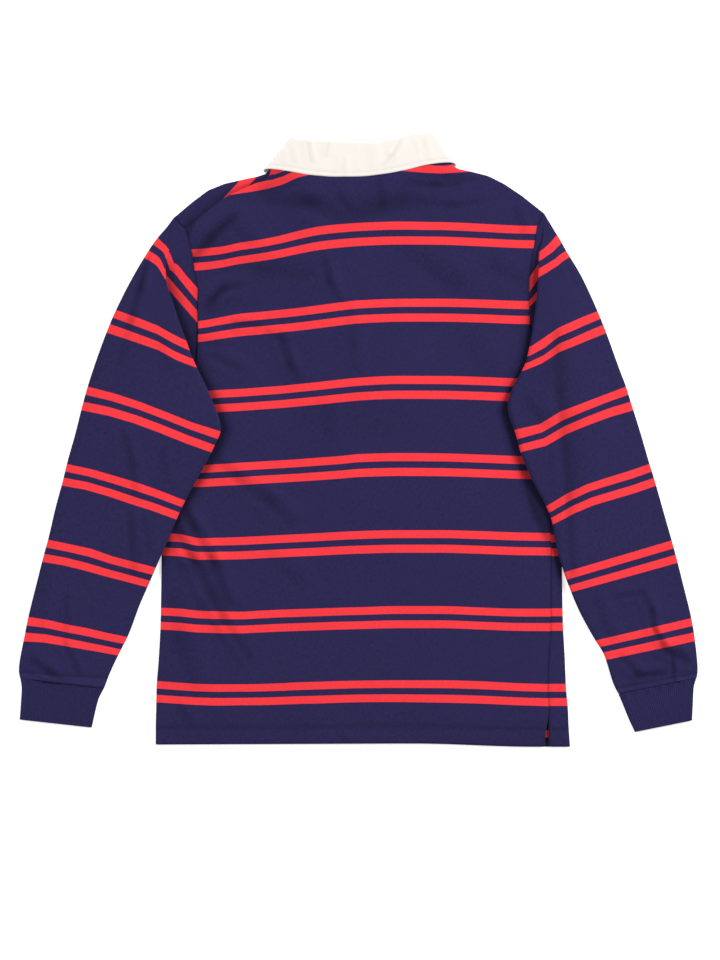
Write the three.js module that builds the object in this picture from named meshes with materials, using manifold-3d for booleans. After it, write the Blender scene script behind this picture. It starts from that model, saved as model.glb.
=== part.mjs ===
// Long-sleeved rugby shirt laid flat on its front, seen from the back.
// Units are millimetres, +Z is up, the shirt lies on z = 0 with its collar towards +Y,
// and the origin is the middle of the bottom of its bounding box.
// Every cut piece is one wall of cloth: a grid of points through the middle of the cloth,
// thickened by half the cloth each way, with sections that follow the shirt's striped courses.
import * as THREE from 'three';
import Module from 'manifold-3d';
import { mergeVertices } from 'three/addons/utils/BufferGeometryUtils.js';

const wasm = await Module();
wasm.setup();

// A table's rows, each read by the names of its columns
const table = (columns, rows) =>
  rows.map((row) => Object.fromEntries(columns.map((name, index) => [name, row[index]])));

// Cloth and seam sizes
const CLOTH = 1.5;
const SEAM_GAP = 0.3;
const LAYER = CLOTH + SEAM_GAP;
const FRONT_LEVEL = CLOTH / 2;
const BACK_LEVEL = FRONT_LEVEL + LAYER;
const FOLD_RADIUS = LAYER / 2;
const FOLD_INSET = FOLD_RADIUS + CLOTH / 2;
const FOLD_LENGTH = Math.PI * FOLD_RADIUS;
const TIP_GAP = 0.45;

// Body sizes: the hem's height in the plan, and how the courses sag to each side of the middle
const HEM_Y = -379;
const SAG = { startX: 46, runX: 244, most: 1.25, atHem: 1, perHeight: 0.05 };
const RIGHT_SAG = { startX: 70, runX: 150, depth: 4 };

// Body width: one row for each height above the hem, with the side edges, how far in from each
// edge its side seam lies (left under the shirt, right on top of it) and the vent's opening
const BODY_COLUMNS = ['height', 'left', 'right', 'seamLeft', 'seamRight', 'vent'];
const BODY_ROWS = table(BODY_COLUMNS, [
  [0, -253.5, 264.5, 22, 27, 5.5],
  [22, -253.5, 263, 22, 25.5, 3],
  [45, -253, 262, 22, 24, 0],
  [75, -252.5, 259.5, 22, 23, 0],
  [110, -250, 258, 20, 20.5, 0],
  [160, -247.5, 255.5, 18, 15, 0],
  [220, -246.5, 254.5, 16, 14, 0],
  [290, -246, 254, 14, 13, 0],
  [350, -245.5, 252.5, 9, 9, 0],
  [400, -245, 252, 5, 5, 0],
]);

// Armholes from the underarm up to the shoulder, one row for each section of the sleeve head.
// frontDip: how far the front's course is lowered in the middle, to pass below the neckline
const ARMHOLE_COLUMNS = ['leftX', 'leftY', 'rightX', 'rightY', 'frontDip'];
const ARMHOLES = table(ARMHOLE_COLUMNS, [
  [-245, 32.5, 252, 39, 0],
  [-220.5, 54, 233, 65, 0],
  [-207, 85, 222, 97.5, 0],
  [-202, 102.5, 217, 122.5, 0],
  [-200.5, 132.5, 214.5, 150, 4],
  [-200.5, 155, 213, 175, 13],
  [-200.5, 184, 213.5, 199, 27],
  [-204.5, 211, 215.5, 221, 44],
  [-208.5, 237.5, 219, 241, 60],
  [-216, 263, 223, 266, 68],
]);

const NECK_DIP = { flat: 20, ramp: 120 };
// The panel that runs under the other one at a shoulder ends its armhole rows this far up
const SHORTER_TOP = 0.4;

// Shoulders from the arm to the neck: the outline's fold and the seam that lies in from it,
// on top of the shirt at the left and under it at the right
const SHOULDER_COLUMN_NAMES = ['foldX', 'foldY', 'seamX', 'seamY'];
const LEFT_SHOULDER = table(SHOULDER_COLUMN_NAMES, [
  [-231, 277.5, -216, 263],
  [-208, 297, -193, 282.5],
  [-188, 312, -173, 299],
  [-168, 320, -157, 308],
  [-143, 325.5, -134.5, 318],
  [-126, 329, -119, 324.5],
  [-116.5, 332, -111.5, 329],
]);
const RIGHT_SHOULDER = table(SHOULDER_COLUMN_NAMES, [
  [231, 284, 223, 266],
  [204.5, 305, 192, 289.5],
  [182, 320, 174, 307.5],
  [162, 330, 158, 321],
  [139.5, 335.5, 138, 329.5],
  [125, 338.5, 123.5, 334.5],
  [119, 342, 117, 338.5],
]);
// Each neck point, where the seam meets the fold, and the way in from it
const NECK_POINTS = {
  left: { foldX: -108, foldY: 342.5, seamX: -108, seamY: 342.5, inX: 0.62, inY: -0.78 },
  right: { foldX: 111, foldY: 350.5, seamX: 111, seamY: 350.5, inX: -0.62, inY: -0.78 },
};

// Necklines between the neck points, on the back and on the front
const NECKLINE_COLUMNS = ['x', 'back', 'front'];
const NECKLINES = table(NECKLINE_COLUMNS, [
  [-85.5, 341, 309],
  [-58, 338, 281],
  [-28, 336, 265],
  [0, 336, 260],
  [28, 338.5, 266],
  [58, 343, 284],
  [86, 348, 313],
]);

// Sleeves, one row for each section from the head to the cuff seam.
// course: cloth down from the first stripe; out: the outer fold; in: the inner fold that lies
// on the body; top: height of the upper layer there; low: height of the layer under that fold;
// tuck: the hidden turn of the tuck at the head, or on later rows where the under layer drops
// off the body
const SLEEVE_COLUMNS = ['course', 'outX', 'outY', 'inX', 'inY', 'top', 'low', 'tuckX', 'tuckY'];
const LEFT_SLEEVE = table(SLEEVE_COLUMNS, [
  [-32, -231.4, 277.1, -225.9, 271.9, 2.55, 2.55, -220.8, 267.1],
  [-21, -240, 265.5, -229.5, 256.5, 2.7, 2.55, -219.5, 247],
  [-10, -247.5, 257, -234.5, 243.5, 2.9, 2.6, -221.5, 229],
  [0, -254, 249, -236.5, 237, 3.8, 2.9, -228, 222],
  [19.5, -265, 232.5, -241, 210, 6.2, 4.2, -240, 195],
  [57, -283, 202, -229.5, 165, 7.6, 4.45, -242, 161],
  [95.5, -303.1, 162.5, -214.5, 122.5, 8.8, 4.45, -243, 125],
  [115, -311.8, 142.5, -206, 100, 9.4, 4.45, -244, 105],
  [157, -328.5, 97.5, -186, 57.5, 11, 4.45, -246, 66],
  [191, -338.3, 67.5, -171.5, 14, 12, 4.45, -243.6, 36],
  [210.5, -344, 47.5, -179.5, -7.5, 12, 4.45, -243.6, 14],
  [248.5, -354.1, 7.5, -195.5, -39, 10.5, 4.45, -243.8, -25],
  [286.5, -364.3, -29, -215, -74, 9, 4.45, -244, -65.5],
  [306, -369.1, -49, -224.5, -94, 8.5, 4.45, -244.2, -88],
  [344, -378.8, -85, -237.5, -125, 7.6, 4.45, -244.6, -123],
  [382.5, -387.9, -124, -252.5, -159, 7, 4.3, -257, -158],
  [402, -393.4, -144, -260.5, -177.5, 6, 2.6, -267, -176],
  [440, -402.8, -181, -273, -206, 5, 0.75, -280, -204.5],
  [478, -412.7, -221, -288, -245.5, 4.6, 0.75, -295, -244],
  [497.5, -417, -242.5, -297, -263, 4.8, 0.75, -304, -262],
  [541, -424.5, -288, -311.5, -294, 5, 0.75, -318.5, -293.5],
  [553, -423, -297.5, -317.5, -310, 4.2, 0.75, -324.5, -309],
]);
const RIGHT_SLEEVE = table(SLEEVE_COLUMNS, [
  [-32, 231.5, 283.8, 229, 277.8, 2.55, 2.55, 226.5, 271.8],
  [-21, 237.5, 274, 231, 263, 3, 2.6, 225.5, 252.5],
  [-10, 244.5, 262.5, 229.5, 248, 4, 3, 225.5, 236],
  [0, 252.5, 249.5, 225.5, 235, 6, 4.2, 227.5, 220],
  [19.5, 260, 236, 224.5, 212.5, 8, 4.45, 230, 196],
  [57, 278.5, 205, 221.5, 171, 9.6, 4.45, 235, 158],
  [95.5, 298.9, 161, 214, 120, 10.5, 4.45, 241.5, 119],
  [115, 307.1, 141, 209.5, 100, 11, 4.45, 246, 97.5],
  [168, 327, 86.5, 186, 40, 12, 4.45, 252, 66],
  [191, 334.2, 67.5, 197, 4, 12, 4.45, 250.6, 31],
  [210.5, 340.5, 47.5, 202, -15, 11.5, 4.45, 250.6, 7],
  [248.5, 353, 7.5, 217, -51, 10.5, 4.45, 251, -36],
  [286.5, 363.6, -29, 234.5, -84, 9, 4.45, 251.5, -77],
  [306, 369.4, -47.5, 240.5, -99, 8.5, 4.45, 251.7, -94.5],
  [344, 380.1, -85, 246.5, -131, 7.8, 4.45, 252.4, -129],
  [382.5, 391.5, -125, 256, -165, 7.4, 4.45, 260, -164],
  [402, 396.7, -144, 262.5, -182.5, 6.8, 3.6, 269, -180.5],
  [440, 406.4, -182.5, 275, -212.5, 5.4, 1.2, 282, -211],
  [478, 416, -222, 295.5, -250, 4.6, 0.75, 302.5, -248],
  [497.5, 419.4, -241, 305.5, -266, 4.8, 0.75, 312.5, -264.5],
  [541, 424, -288, 319.5, -307.5, 5, 0.75, 326.5, -306],
  [553, 422.5, -297.5, 324.5, -317, 4.2, 0.75, 331.5, -315.5],
]);
const HEAD_ROWS = 9;

// Cuffs: knitted tubes, one row for each section from the sleeve's seam to the open end
const CUFF_TOP = 3.4;
const CUFF_COLUMNS = ['outX', 'outY', 'inX', 'inY'];
const LEFT_CUFF = table(CUFF_COLUMNS, [
  [-422.5, -298, -318, -310.6],
  [-421, -310, -324.5, -323.5],
  [-422, -330, -329, -341],
  [-423.5, -349, -333, -359],
]);
const RIGHT_CUFF = table(CUFF_COLUMNS, [
  [422, -298, 324.8, -317.8],
  [419, -310, 330, -330],
  [418, -330, 337.5, -348.5],
  [417, -350, 345, -364.5],
]);

// Collar, one row for each section from its left front end round the back to the right one:
// the neck seam, the fold line and the loose edge in the plan, and the turn of the cloth,
// from 180 degrees (front, underneath) to 0 (back, on top)
const NECK_LIFT = LAYER;
const STAND_RADIUS = FOLD_RADIUS;
const FALL_RADIUS = FOLD_RADIUS + LAYER;
const COLLAR_MIDDLE = (FRONT_LEVEL + BACK_LEVEL) / 2 + NECK_LIFT;
const COLLAR_COLUMNS = ['seamX', 'seamY', 'foldX', 'foldY', 'edgeX', 'edgeY', 'turn'];
const COLLAR_ROWS = table(COLLAR_COLUMNS, [
  [-3, 261.8, -5, 286, -45, 232, 180],
  [-28, 266.2, -23, 307, -64, 257, 180],
  [-58, 282.2, -44, 331, -84, 283, 180],
  [-85.5, 310.5, -65, 355, -103, 311, 180],
  [-103.5, 344, -83, 376, -116.5, 333.5, 180],
  [-104, 345, -83.8, 376.6, -117.8, 335, 135],
  [-104, 345.2, -84, 377, -118.2, 336, 90],
  [-103.5, 345, -83.6, 376.8, -117.4, 337, 45],
  [-101, 343.6, -80, 375.6, -112, 338.5, 0],
  [-85.5, 341.8, -62, 373.4, -90, 336, 0],
  [-58, 338.8, -42, 372.6, -60, 331, 0],
  [-28, 336.8, -20, 371.5, -28, 328.8, 0],
  [0, 336.8, 4, 371, 0, 329, 0],
  [28, 339.3, 28, 372, 30, 332, 0],
  [58, 343.8, 50, 377, 60, 337.5, 0],
  [86, 348.8, 73, 381.5, 90, 344.5, 0],
  [104, 351.4, 91, 383, 113, 346.5, 0],
  [106.5, 352.8, 94.4, 383.3, 120, 345, 45],
  [107, 353, 95, 383.3, 121.4, 343.6, 90],
  [107, 352.6, 94.6, 382.8, 121, 342, 135],
  [106.5, 351.4, 93.5, 381.6, 119.5, 340, 180],
  [86, 314.5, 72, 357, 103, 312, 180],
  [58, 285.2, 49, 332, 86, 285, 180],
  [28, 267.2, 27, 308, 68, 259, 180],
  [3, 261.8, 6, 286, 50, 234, 180],
]);

// What lies under the cloth and lifts it: the collar's leaves about the neck, and the placket
const NECK_MOUND = { x: 0, y: 312, halfX: 135, halfY: 105, ramp: 0.42 };
const PLACKET = { width: 32, top: 258, bottom: 92, cloth: 1.2, level: 3.3, underIn: 4 };
const PLACKET_MOUND = { ramp: 55, above: 6, frontLift: 2.7, frontFlat: 22, backLift: 4.4, backFlat: 34 };
const SLOT = { above: 20, depth: 40 };
const BUTTON = { radius: 7.5, thickness: 2.4, rimIn: 0.8, rimUp: 0.7, sides: 20, y: [238, 180, 122] };

// The largest soft folds of the back, as ridges from one place to another
const BACK_FOLDS = [
  { fromX: -196, fromY: -95, toX: -150, toY: -210, height: 2.4, width: 24 },
  { fromX: -150, fromY: -45, toX: -85, toY: -115, height: 1.6, width: 22 },
];

const lerp = (a, b, t) => a + (b - a) * t;
const clamp = (value, low = 0, high = 1) => Math.min(high, Math.max(low, value));
const smooth = (value) => {
  const t = clamp(value);
  return t * t * (3 - 2 * t);
};
const plan = (x, y) => new THREE.Vector2(x, y);

// A course is a line across the cloth: its height above the hem, and where it lies in the plan
const sagShare = (x) => clamp((SAG.startX - x) / SAG.runX, 0, SAG.most);
const rightSag = (x) => RIGHT_SAG.depth * smooth((x - RIGHT_SAG.startX) / RIGHT_SAG.runX);
const courseY = (height, x) =>
  HEM_Y + height - (SAG.atHem + SAG.perHeight * height) * sagShare(x) - rightSag(x);
const courseHeight = (x, y) =>
  (y - HEM_Y + SAG.atHem * sagShare(x) + rightSag(x)) / (1 - SAG.perHeight * sagShare(x));

// How far the cloth is lifted by what lies under it
function neckLift(x, y) {
  const reach = Math.hypot((x - NECK_MOUND.x) / NECK_MOUND.halfX, (y - NECK_MOUND.y) / NECK_MOUND.halfY);
  return NECK_LIFT * (1 - smooth((reach - 1) / NECK_MOUND.ramp));
}
function placketLift(x, y, lift, flat) {
  const across = Math.max(0, Math.abs(x) - PLACKET.width / 2 - flat);
  const along = Math.max(0, PLACKET.bottom - flat - y, y - PLACKET.top - PLACKET_MOUND.above);
  return lift * (1 - smooth(Math.hypot(across, along) / PLACKET_MOUND.ramp));
}
function ridge(x, y, fold) {
  const line = plan(fold.toX - fold.fromX, fold.toY - fold.fromY);
  const reach = plan(x - fold.fromX, y - fold.fromY);
  const share = clamp(reach.dot(line) / line.lengthSq());
  const away = reach.sub(line.multiplyScalar(share)).length();
  return fold.height * Math.sin(Math.PI * share) * (1 - smooth(away / fold.width));
}
function frontLift(x, y) {
  const overButtons = placketLift(x, y, PLACKET_MOUND.frontLift, PLACKET_MOUND.frontFlat);
  return Math.max(neckLift(x, y), overButtons);
}
function backLift(x, y) {
  const overPlacket = placketLift(x, y, PLACKET_MOUND.backLift, PLACKET_MOUND.backFlat);
  const folds = BACK_FOLDS.reduce((sum, fold) => sum + ridge(x, y, fold), 0);
  return Math.max(neckLift(x, y), overPlacket) + folds;
}
function clothAt(x, y, level) {
  const share = clamp((level - FRONT_LEVEL) / LAYER);
  return new THREE.Vector3(x, y, level + lerp(frontLift(x, y), backLift(x, y), share));
}

// A closed wall of cloth about a grid of points through its middle. The normals come from the
// grid's own directions, and the outer face is the side that the rows and columns turn about.
function clothWall(grid, thickness) {
  const rows = grid.length;
  const columns = grid[0].length;
  const positions = [];
  const half = thickness / 2;
  for (const side of [half, -half]) {
    for (let row = 0; row < rows; row += 1) {
      for (let column = 0; column < columns; column += 1) {
        const across = grid[row][Math.min(column + 1, columns - 1)].clone()
          .sub(grid[row][Math.max(column - 1, 0)]);
        const along = grid[Math.min(row + 1, rows - 1)][column].clone()
          .sub(grid[Math.max(row - 1, 0)][column]);
        const normal = across.cross(along).normalize();
        const point = grid[row][column].clone().addScaledVector(normal, side);
        positions.push(point.x, point.y, point.z);
      }
    }
  }
  const index = [];
  const at = (side, row, column) => side * rows * columns + row * columns + column;
  const quad = (a, b, c, d) => index.push(a, b, c, a, c, d);
  for (let row = 0; row < rows - 1; row += 1) {
    for (let column = 0; column < columns - 1; column += 1) {
      quad(at(0, row, column), at(0, row, column + 1), at(0, row + 1, column + 1), at(0, row + 1, column));
      quad(at(1, row, column), at(1, row + 1, column), at(1, row + 1, column + 1), at(1, row, column + 1));
    }
  }
  for (let row = 0; row < rows - 1; row += 1) {
    const last = columns - 1;
    quad(at(0, row, 0), at(0, row + 1, 0), at(1, row + 1, 0), at(1, row, 0));
    quad(at(0, row, last), at(1, row, last), at(1, row + 1, last), at(0, row + 1, last));
  }
  for (let column = 0; column < columns - 1; column += 1) {
    const last = rows - 1;
    quad(at(0, 0, column), at(1, 0, column), at(1, 0, column + 1), at(0, 0, column + 1));
    quad(at(0, last, column), at(0, last, column + 1), at(1, last, column + 1), at(1, last, column));
  }
  const geometry = new THREE.BufferGeometry();
  geometry.setAttribute('position', new THREE.Float32BufferAttribute(positions, 3));
  geometry.setIndex(index);
  return geometry;
}

// Where cloth is after it has run a way past the start of a fold: how far in from the outline,
// and how far it has turned from its own layer (0) to the other one (1)
function pastFold(run) {
  if (run < 0) {
    return { inset: FOLD_INSET - run, over: 0 };
  }
  if (run > FOLD_LENGTH) {
    return { inset: FOLD_INSET + run - FOLD_LENGTH, over: 1 };
  }
  const angle = run / FOLD_RADIUS;
  return { inset: FOLD_INSET - FOLD_RADIUS * Math.sin(angle), over: (1 - Math.cos(angle)) / 2 };
}

// The columns next to a cut edge: they bend round the fold where the edge lies past it
const EDGE_COLUMNS = 5;
const EDGE_STEP = 4;
function edgeRuns(reach) {
  const runs = [];
  for (let step = 0; step <= EDGE_COLUMNS; step += 1) {
    const back = EDGE_COLUMNS - step;
    if (reach > FOLD_LENGTH + 1) {
      runs.push(back === 0 ? reach : (FOLD_LENGTH * step) / (EDGE_COLUMNS - 1));
    } else if (reach > 0) {
      runs.push((reach * step) / EDGE_COLUMNS);
    } else {
      runs.push(reach - back * EDGE_STEP);
    }
  }
  return runs;
}

// The body's columns: shares of the way between the two groups of edge columns, denser so that
// one column meets each neck point
const SHOULDER_COLUMNS = 4;
const NECK_COLUMNS = NECKLINES.length + 1;
const SHOULDER_SHARE = { left: 0.215, right: 0.23 };
function innerShares() {
  const shares = [];
  for (let i = 1; i <= SHOULDER_COLUMNS; i += 1) {
    shares.push((SHOULDER_SHARE.left * i) / SHOULDER_COLUMNS);
  }
  for (let i = 1; i <= NECK_COLUMNS; i += 1) {
    shares.push(lerp(SHOULDER_SHARE.left, 1 - SHOULDER_SHARE.right, i / NECK_COLUMNS));
  }
  for (let i = 1; i < SHOULDER_COLUMNS; i += 1) {
    shares.push(1 - SHOULDER_SHARE.right + (SHOULDER_SHARE.right * i) / SHOULDER_COLUMNS);
  }
  return shares;
}

// One row of a body panel. Each end has its outline or cut edge, its edge runs, how much wider
// the fold's inset would make it (cut) and the height of its course.
function panelRow(ends, level, other) {
  const leftSide = ends.left.runs.map((run) => {
    const past = pastFold(run);
    return { x: ends.left.x + past.inset - ends.left.cut, over: past.over };
  }).reverse();
  const rightSide = ends.right.runs.map((run) => {
    const past = pastFold(run);
    return { x: ends.right.x - past.inset + ends.right.cut, over: past.over };
  });
  const fromX = leftSide[leftSide.length - 1].x;
  const toX = rightSide[0].x;
  const inner = innerShares().map((share) => ({ x: lerp(fromX, toX, share), over: 0 }));
  return [...leftSide, ...inner, ...rightSide].map((spot) => {
    const share = clamp((spot.x - ends.left.x) / (ends.right.x - ends.left.x));
    const height = lerp(ends.left.height, ends.right.height, share);
    const dip = ends.dip * smooth(1 - (Math.abs(spot.x) - NECK_DIP.flat) / NECK_DIP.ramp);
    return { x: spot.x, y: courseY(height, spot.x) - dip, level: lerp(level, other, spot.over) };
  });
}

// The rows of one body panel from the hem to the shoulders. The front lies on the surface and
// runs up round the right side; the back lies on it and runs down round the left side.
function bodyPanel(isFront) {
  const level = isFront ? FRONT_LEVEL : BACK_LEVEL;
  const other = isFront ? BACK_LEVEL : FRONT_LEVEL;
  const rows = [];
  for (const row of BODY_ROWS) {
    const wrapLeft = FOLD_LENGTH + row.seamLeft - FOLD_INSET - SEAM_GAP / 2;
    const wrapRight = FOLD_LENGTH + row.seamRight - FOLD_INSET - SEAM_GAP / 2;
    const openLeft = FOLD_INSET - row.seamLeft - SEAM_GAP / 2;
    const openRight = FOLD_INSET - row.seamRight - SEAM_GAP / 2 - row.vent;
    const left = edgeRuns(isFront ? openLeft : wrapLeft);
    const right = edgeRuns(isFront ? wrapRight : openRight);
    rows.push(panelRow({
      left: { x: row.left, runs: left, cut: 0, height: row.height },
      right: { x: row.right, runs: right, cut: 0, height: row.height },
      dip: 0,
    }, level, other));
  }
  const tip = FOLD_LENGTH / 2 - TIP_GAP;
  ARMHOLES.forEach((hole, index) => {
    const runs = edgeRuns(index === 0 ? tip : -FOLD_INSET);
    const cut = index === 0 ? 0 : 2 * FOLD_INSET - SEAM_GAP / 2;
    let { leftX, leftY, rightX, rightY } = hole;
    if (index === ARMHOLES.length - 1) {
      const below = ARMHOLES[index - 1];
      leftX = isFront ? leftX : lerp(below.leftX, leftX, SHORTER_TOP);
      leftY = isFront ? leftY : lerp(below.leftY, leftY, SHORTER_TOP);
      rightX = isFront ? lerp(below.rightX, rightX, SHORTER_TOP) : rightX;
      rightY = isFront ? lerp(below.rightY, rightY, SHORTER_TOP) : rightY;
    }
    rows.push(panelRow({
      left: { x: leftX, runs, cut, height: courseHeight(leftX, leftY) },
      right: { x: rightX, runs, cut, height: courseHeight(rightX, rightY) },
      dip: isFront ? hole.frontDip : 0,
    }, level, other));
  });
  const grid = rows.map((row) => row.map((spot) => clothAt(spot.x, spot.y, spot.level)));
  return [...grid, ...shoulderRows(rows[rows.length - 1], isFront, level, other)];
}

// Rows over the shoulders and up to the neckline. A column that runs over the outline's fold
// bends there and ends at the shoulder seam on the other side; the rest end flat at their edge.
const SHOULDER_FLAT_ROWS = 3;
const SHOULDER_FOLD_ROWS = 4;
const SHOULDER_ROWS = SHOULDER_FLAT_ROWS + SHOULDER_FOLD_ROWS + 1;
const EVERY_SHOULDER_ROW = Array.from({ length: SHOULDER_ROWS }, (_, index) => index + 1);

// The shoulder's fold and seam at a share of the way from the arm to the neck point
function shoulderAt(shoulder, neck, share) {
  const place = Math.min(share, 1) * shoulder.length;
  const step = Math.min(Math.floor(place), shoulder.length - 1);
  const near = shoulder[step];
  const far = shoulder[step + 1] ?? neck;
  const t = place - step;
  return {
    fold: plan(lerp(near.foldX, far.foldX, t), lerp(near.foldY, far.foldY, t)),
    seam: plan(lerp(near.seamX, far.seamX, t), lerp(near.seamY, far.seamY, t)),
  };
}
function flatColumn(from, to, level) {
  return EVERY_SHOULDER_ROW.map((row) => {
    const at = from.clone().lerp(to, row / SHOULDER_ROWS);
    return clothAt(at.x, at.y, level);
  });
}
function foldedColumn(from, fold, inward, reach, turnRows, level, other) {
  const foldStart = fold.clone().addScaledVector(inward, FOLD_INSET);
  return EVERY_SHOULDER_ROW.map((row) => {
    if (row <= SHOULDER_FLAT_ROWS) {
      const at = from.clone().lerp(foldStart, row / SHOULDER_FLAT_ROWS);
      return clothAt(at.x, at.y, level);
    }
    const turn = row - SHOULDER_FLAT_ROWS;
    const run = turn > turnRows ? reach : (Math.min(reach, FOLD_LENGTH) * turn) / turnRows;
    const past = pastFold(run);
    const at = fold.clone().addScaledVector(inward, past.inset);
    return clothAt(at.x, at.y, lerp(level, other, past.over));
  });
}
function shoulderRows(start, isFront, level, other) {
  const leftNeck = EDGE_COLUMNS + SHOULDER_COLUMNS;
  const rightNeck = leftNeck + NECK_COLUMNS;
  const columns = start.map((spot, column) => {
    const from = plan(spot.x, spot.y);
    if (column > leftNeck && column < rightNeck) {
      const neck = NECKLINES[column - leftNeck - 1];
      return flatColumn(from, plan(neck.x, isFront ? neck.front : neck.back), level);
    }
    const onLeft = column <= leftNeck;
    const neckPoint = onLeft ? NECK_POINTS.left : NECK_POINTS.right;
    if (column === leftNeck || column === rightNeck) {
      const inward = plan(neckPoint.inX, neckPoint.inY);
      const fold = plan(neckPoint.foldX, neckPoint.foldY);
      const reach = FOLD_LENGTH / 2 - SEAM_GAP;
      return foldedColumn(from, fold, inward, reach, SHOULDER_FOLD_ROWS + 1, level, other);
    }
    const startX = start[onLeft ? 0 : start.length - 1].x;
    const neckX = start[onLeft ? leftNeck : rightNeck].x;
    const { fold, seam } = shoulderAt(onLeft ? LEFT_SHOULDER : RIGHT_SHOULDER, neckPoint,
      (spot.x - startX) / (neckX - startX));
    const inward = seam.clone().sub(fold).normalize();
    if (onLeft === isFront) {
      const reach = FOLD_LENGTH + seam.distanceTo(fold) - FOLD_INSET - SEAM_GAP / 2;
      return foldedColumn(from, fold, inward, reach, SHOULDER_FOLD_ROWS, level, other);
    }
    return flatColumn(from, seam.clone().addScaledVector(inward, SEAM_GAP / 2), level);
  });
  return EVERY_SHOULDER_ROW.map((_, row) => columns.map((points) => points[row]));
}

// Half an ellipse from below to above (or back), standing in the plan's given direction
function bend(centre, direction, from, to, reach, rise, steps) {
  const points = [];
  for (let step = 0; step <= steps; step += 1) {
    const angle = lerp(from, to, step / steps);
    points.push(new THREE.Vector3(
      centre.x + direction.x * reach * Math.cos(angle),
      centre.y + direction.y * reach * Math.cos(angle),
      centre.z + rise * Math.sin(angle),
    ));
  }
  return points;
}
const DOWN = -Math.PI / 2;
const UP = Math.PI / 2;
function between(from, to, steps) {
  return Array.from({ length: steps - 1 }, (_, step) => from.clone().lerp(to, (step + 1) / steps));
}
const along = (start, direction, shift, z) =>
  new THREE.Vector3(start.x + direction.x * shift, start.y + direction.y * shift, z);

// How many pieces each stretch of a sleeve's section has, and how its folds are shaped
const SLEEVE_STEPS = { lead: 2, under: 2, over: 7, below: 5, fold: 4 };
const OUTER_FOLD = 1;
const WIDEST_FOLD = 3;
const OUTER_PUFF = { height: 0.4, rows: 3 };
const SMOOTH_TUCK = { rise: 1.5, shifts: [-1.5, -0.5, 0.5, 1.5] };
const SMOOTH_INNER = { rise: 0.8, shifts: [-3, -1.5, 0, 1.5, 3] };
const SHOULDER_SIDE = { x: 0.8, y: -0.6 };
const SEAM_CLEARANCE = 0.3;
// Where the under layer drops from the body to the surface: shifts outward and heights
const DROP = table(['shift', 'z'], [[4.9, 1.2], [4.5, 1.9], [2.4, 3.6], [0, 4.5]]);
const DROP_FALL = 0.8;
const UNDERARM = { low: 2.8, next: 3.1, end: 2.2 };

// The hidden turn of the tuck above the underarm, with the ends at the armhole
function headTurn(row, index, outward, side) {
  const hole = ARMHOLES[ARMHOLES.length - 1 - index];
  const edge = side < 0 ? plan(hole.leftX, hole.leftY) : plan(hole.rightX, hole.rightY);
  const away = index === 0 ? plan(side * SHOULDER_SIDE.x, SHOULDER_SIDE.y) : plan(side, 0);
  edge.addScaledVector(away, SEAM_CLEARANCE);
  const tuck = plan(row.tuckX, row.tuckY);
  const rise = row.low - BACK_LEVEL;
  const turn = rise < SMOOTH_TUCK.rise
    ? SMOOTH_TUCK.shifts.map((shift, step) =>
      along(tuck, outward, shift, lerp(BACK_LEVEL, row.low, step / (SMOOTH_TUCK.shifts.length - 1))))
    : bend(along(tuck, outward, 0, BACK_LEVEL + rise / 2), tuck.clone().sub(edge).normalize(),
      DOWN, UP, rise / 2, rise / 2, SMOOTH_TUCK.shifts.length - 1);
  return { turn, back: along(edge, outward, 0, BACK_LEVEL), front: along(edge, outward, 0, FRONT_LEVEL) };
}

// Below the underarm: the layer's drop off the body, with the underarm seam at its foot
function dropTurn(row, index, outward) {
  const tuck = plan(row.tuckX, row.tuckY).addScaledVector(outward, -SMOOTH_TUCK.rise);
  const topOfDrop = DROP[DROP.length - 1].z;
  const turn = DROP.map(({ shift, z }) => {
    const lowered = Math.min(z, row.low + (z - topOfDrop) * DROP_FALL);
    return along(tuck, outward, SMOOTH_TUCK.rise + shift, Math.max(FRONT_LEVEL, lowered));
  });
  const atUnderarm = index === HEAD_ROWS;
  if (atUnderarm) {
    turn[0].z = UNDERARM.low;
    turn[1].z = UNDERARM.next;
  }
  const back = along(turn[0], outward, UNDERARM.end, atUnderarm ? BACK_LEVEL : FRONT_LEVEL);
  return { turn, back, front: along(back, outward, SEAM_GAP, FRONT_LEVEL) };
}

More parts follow.
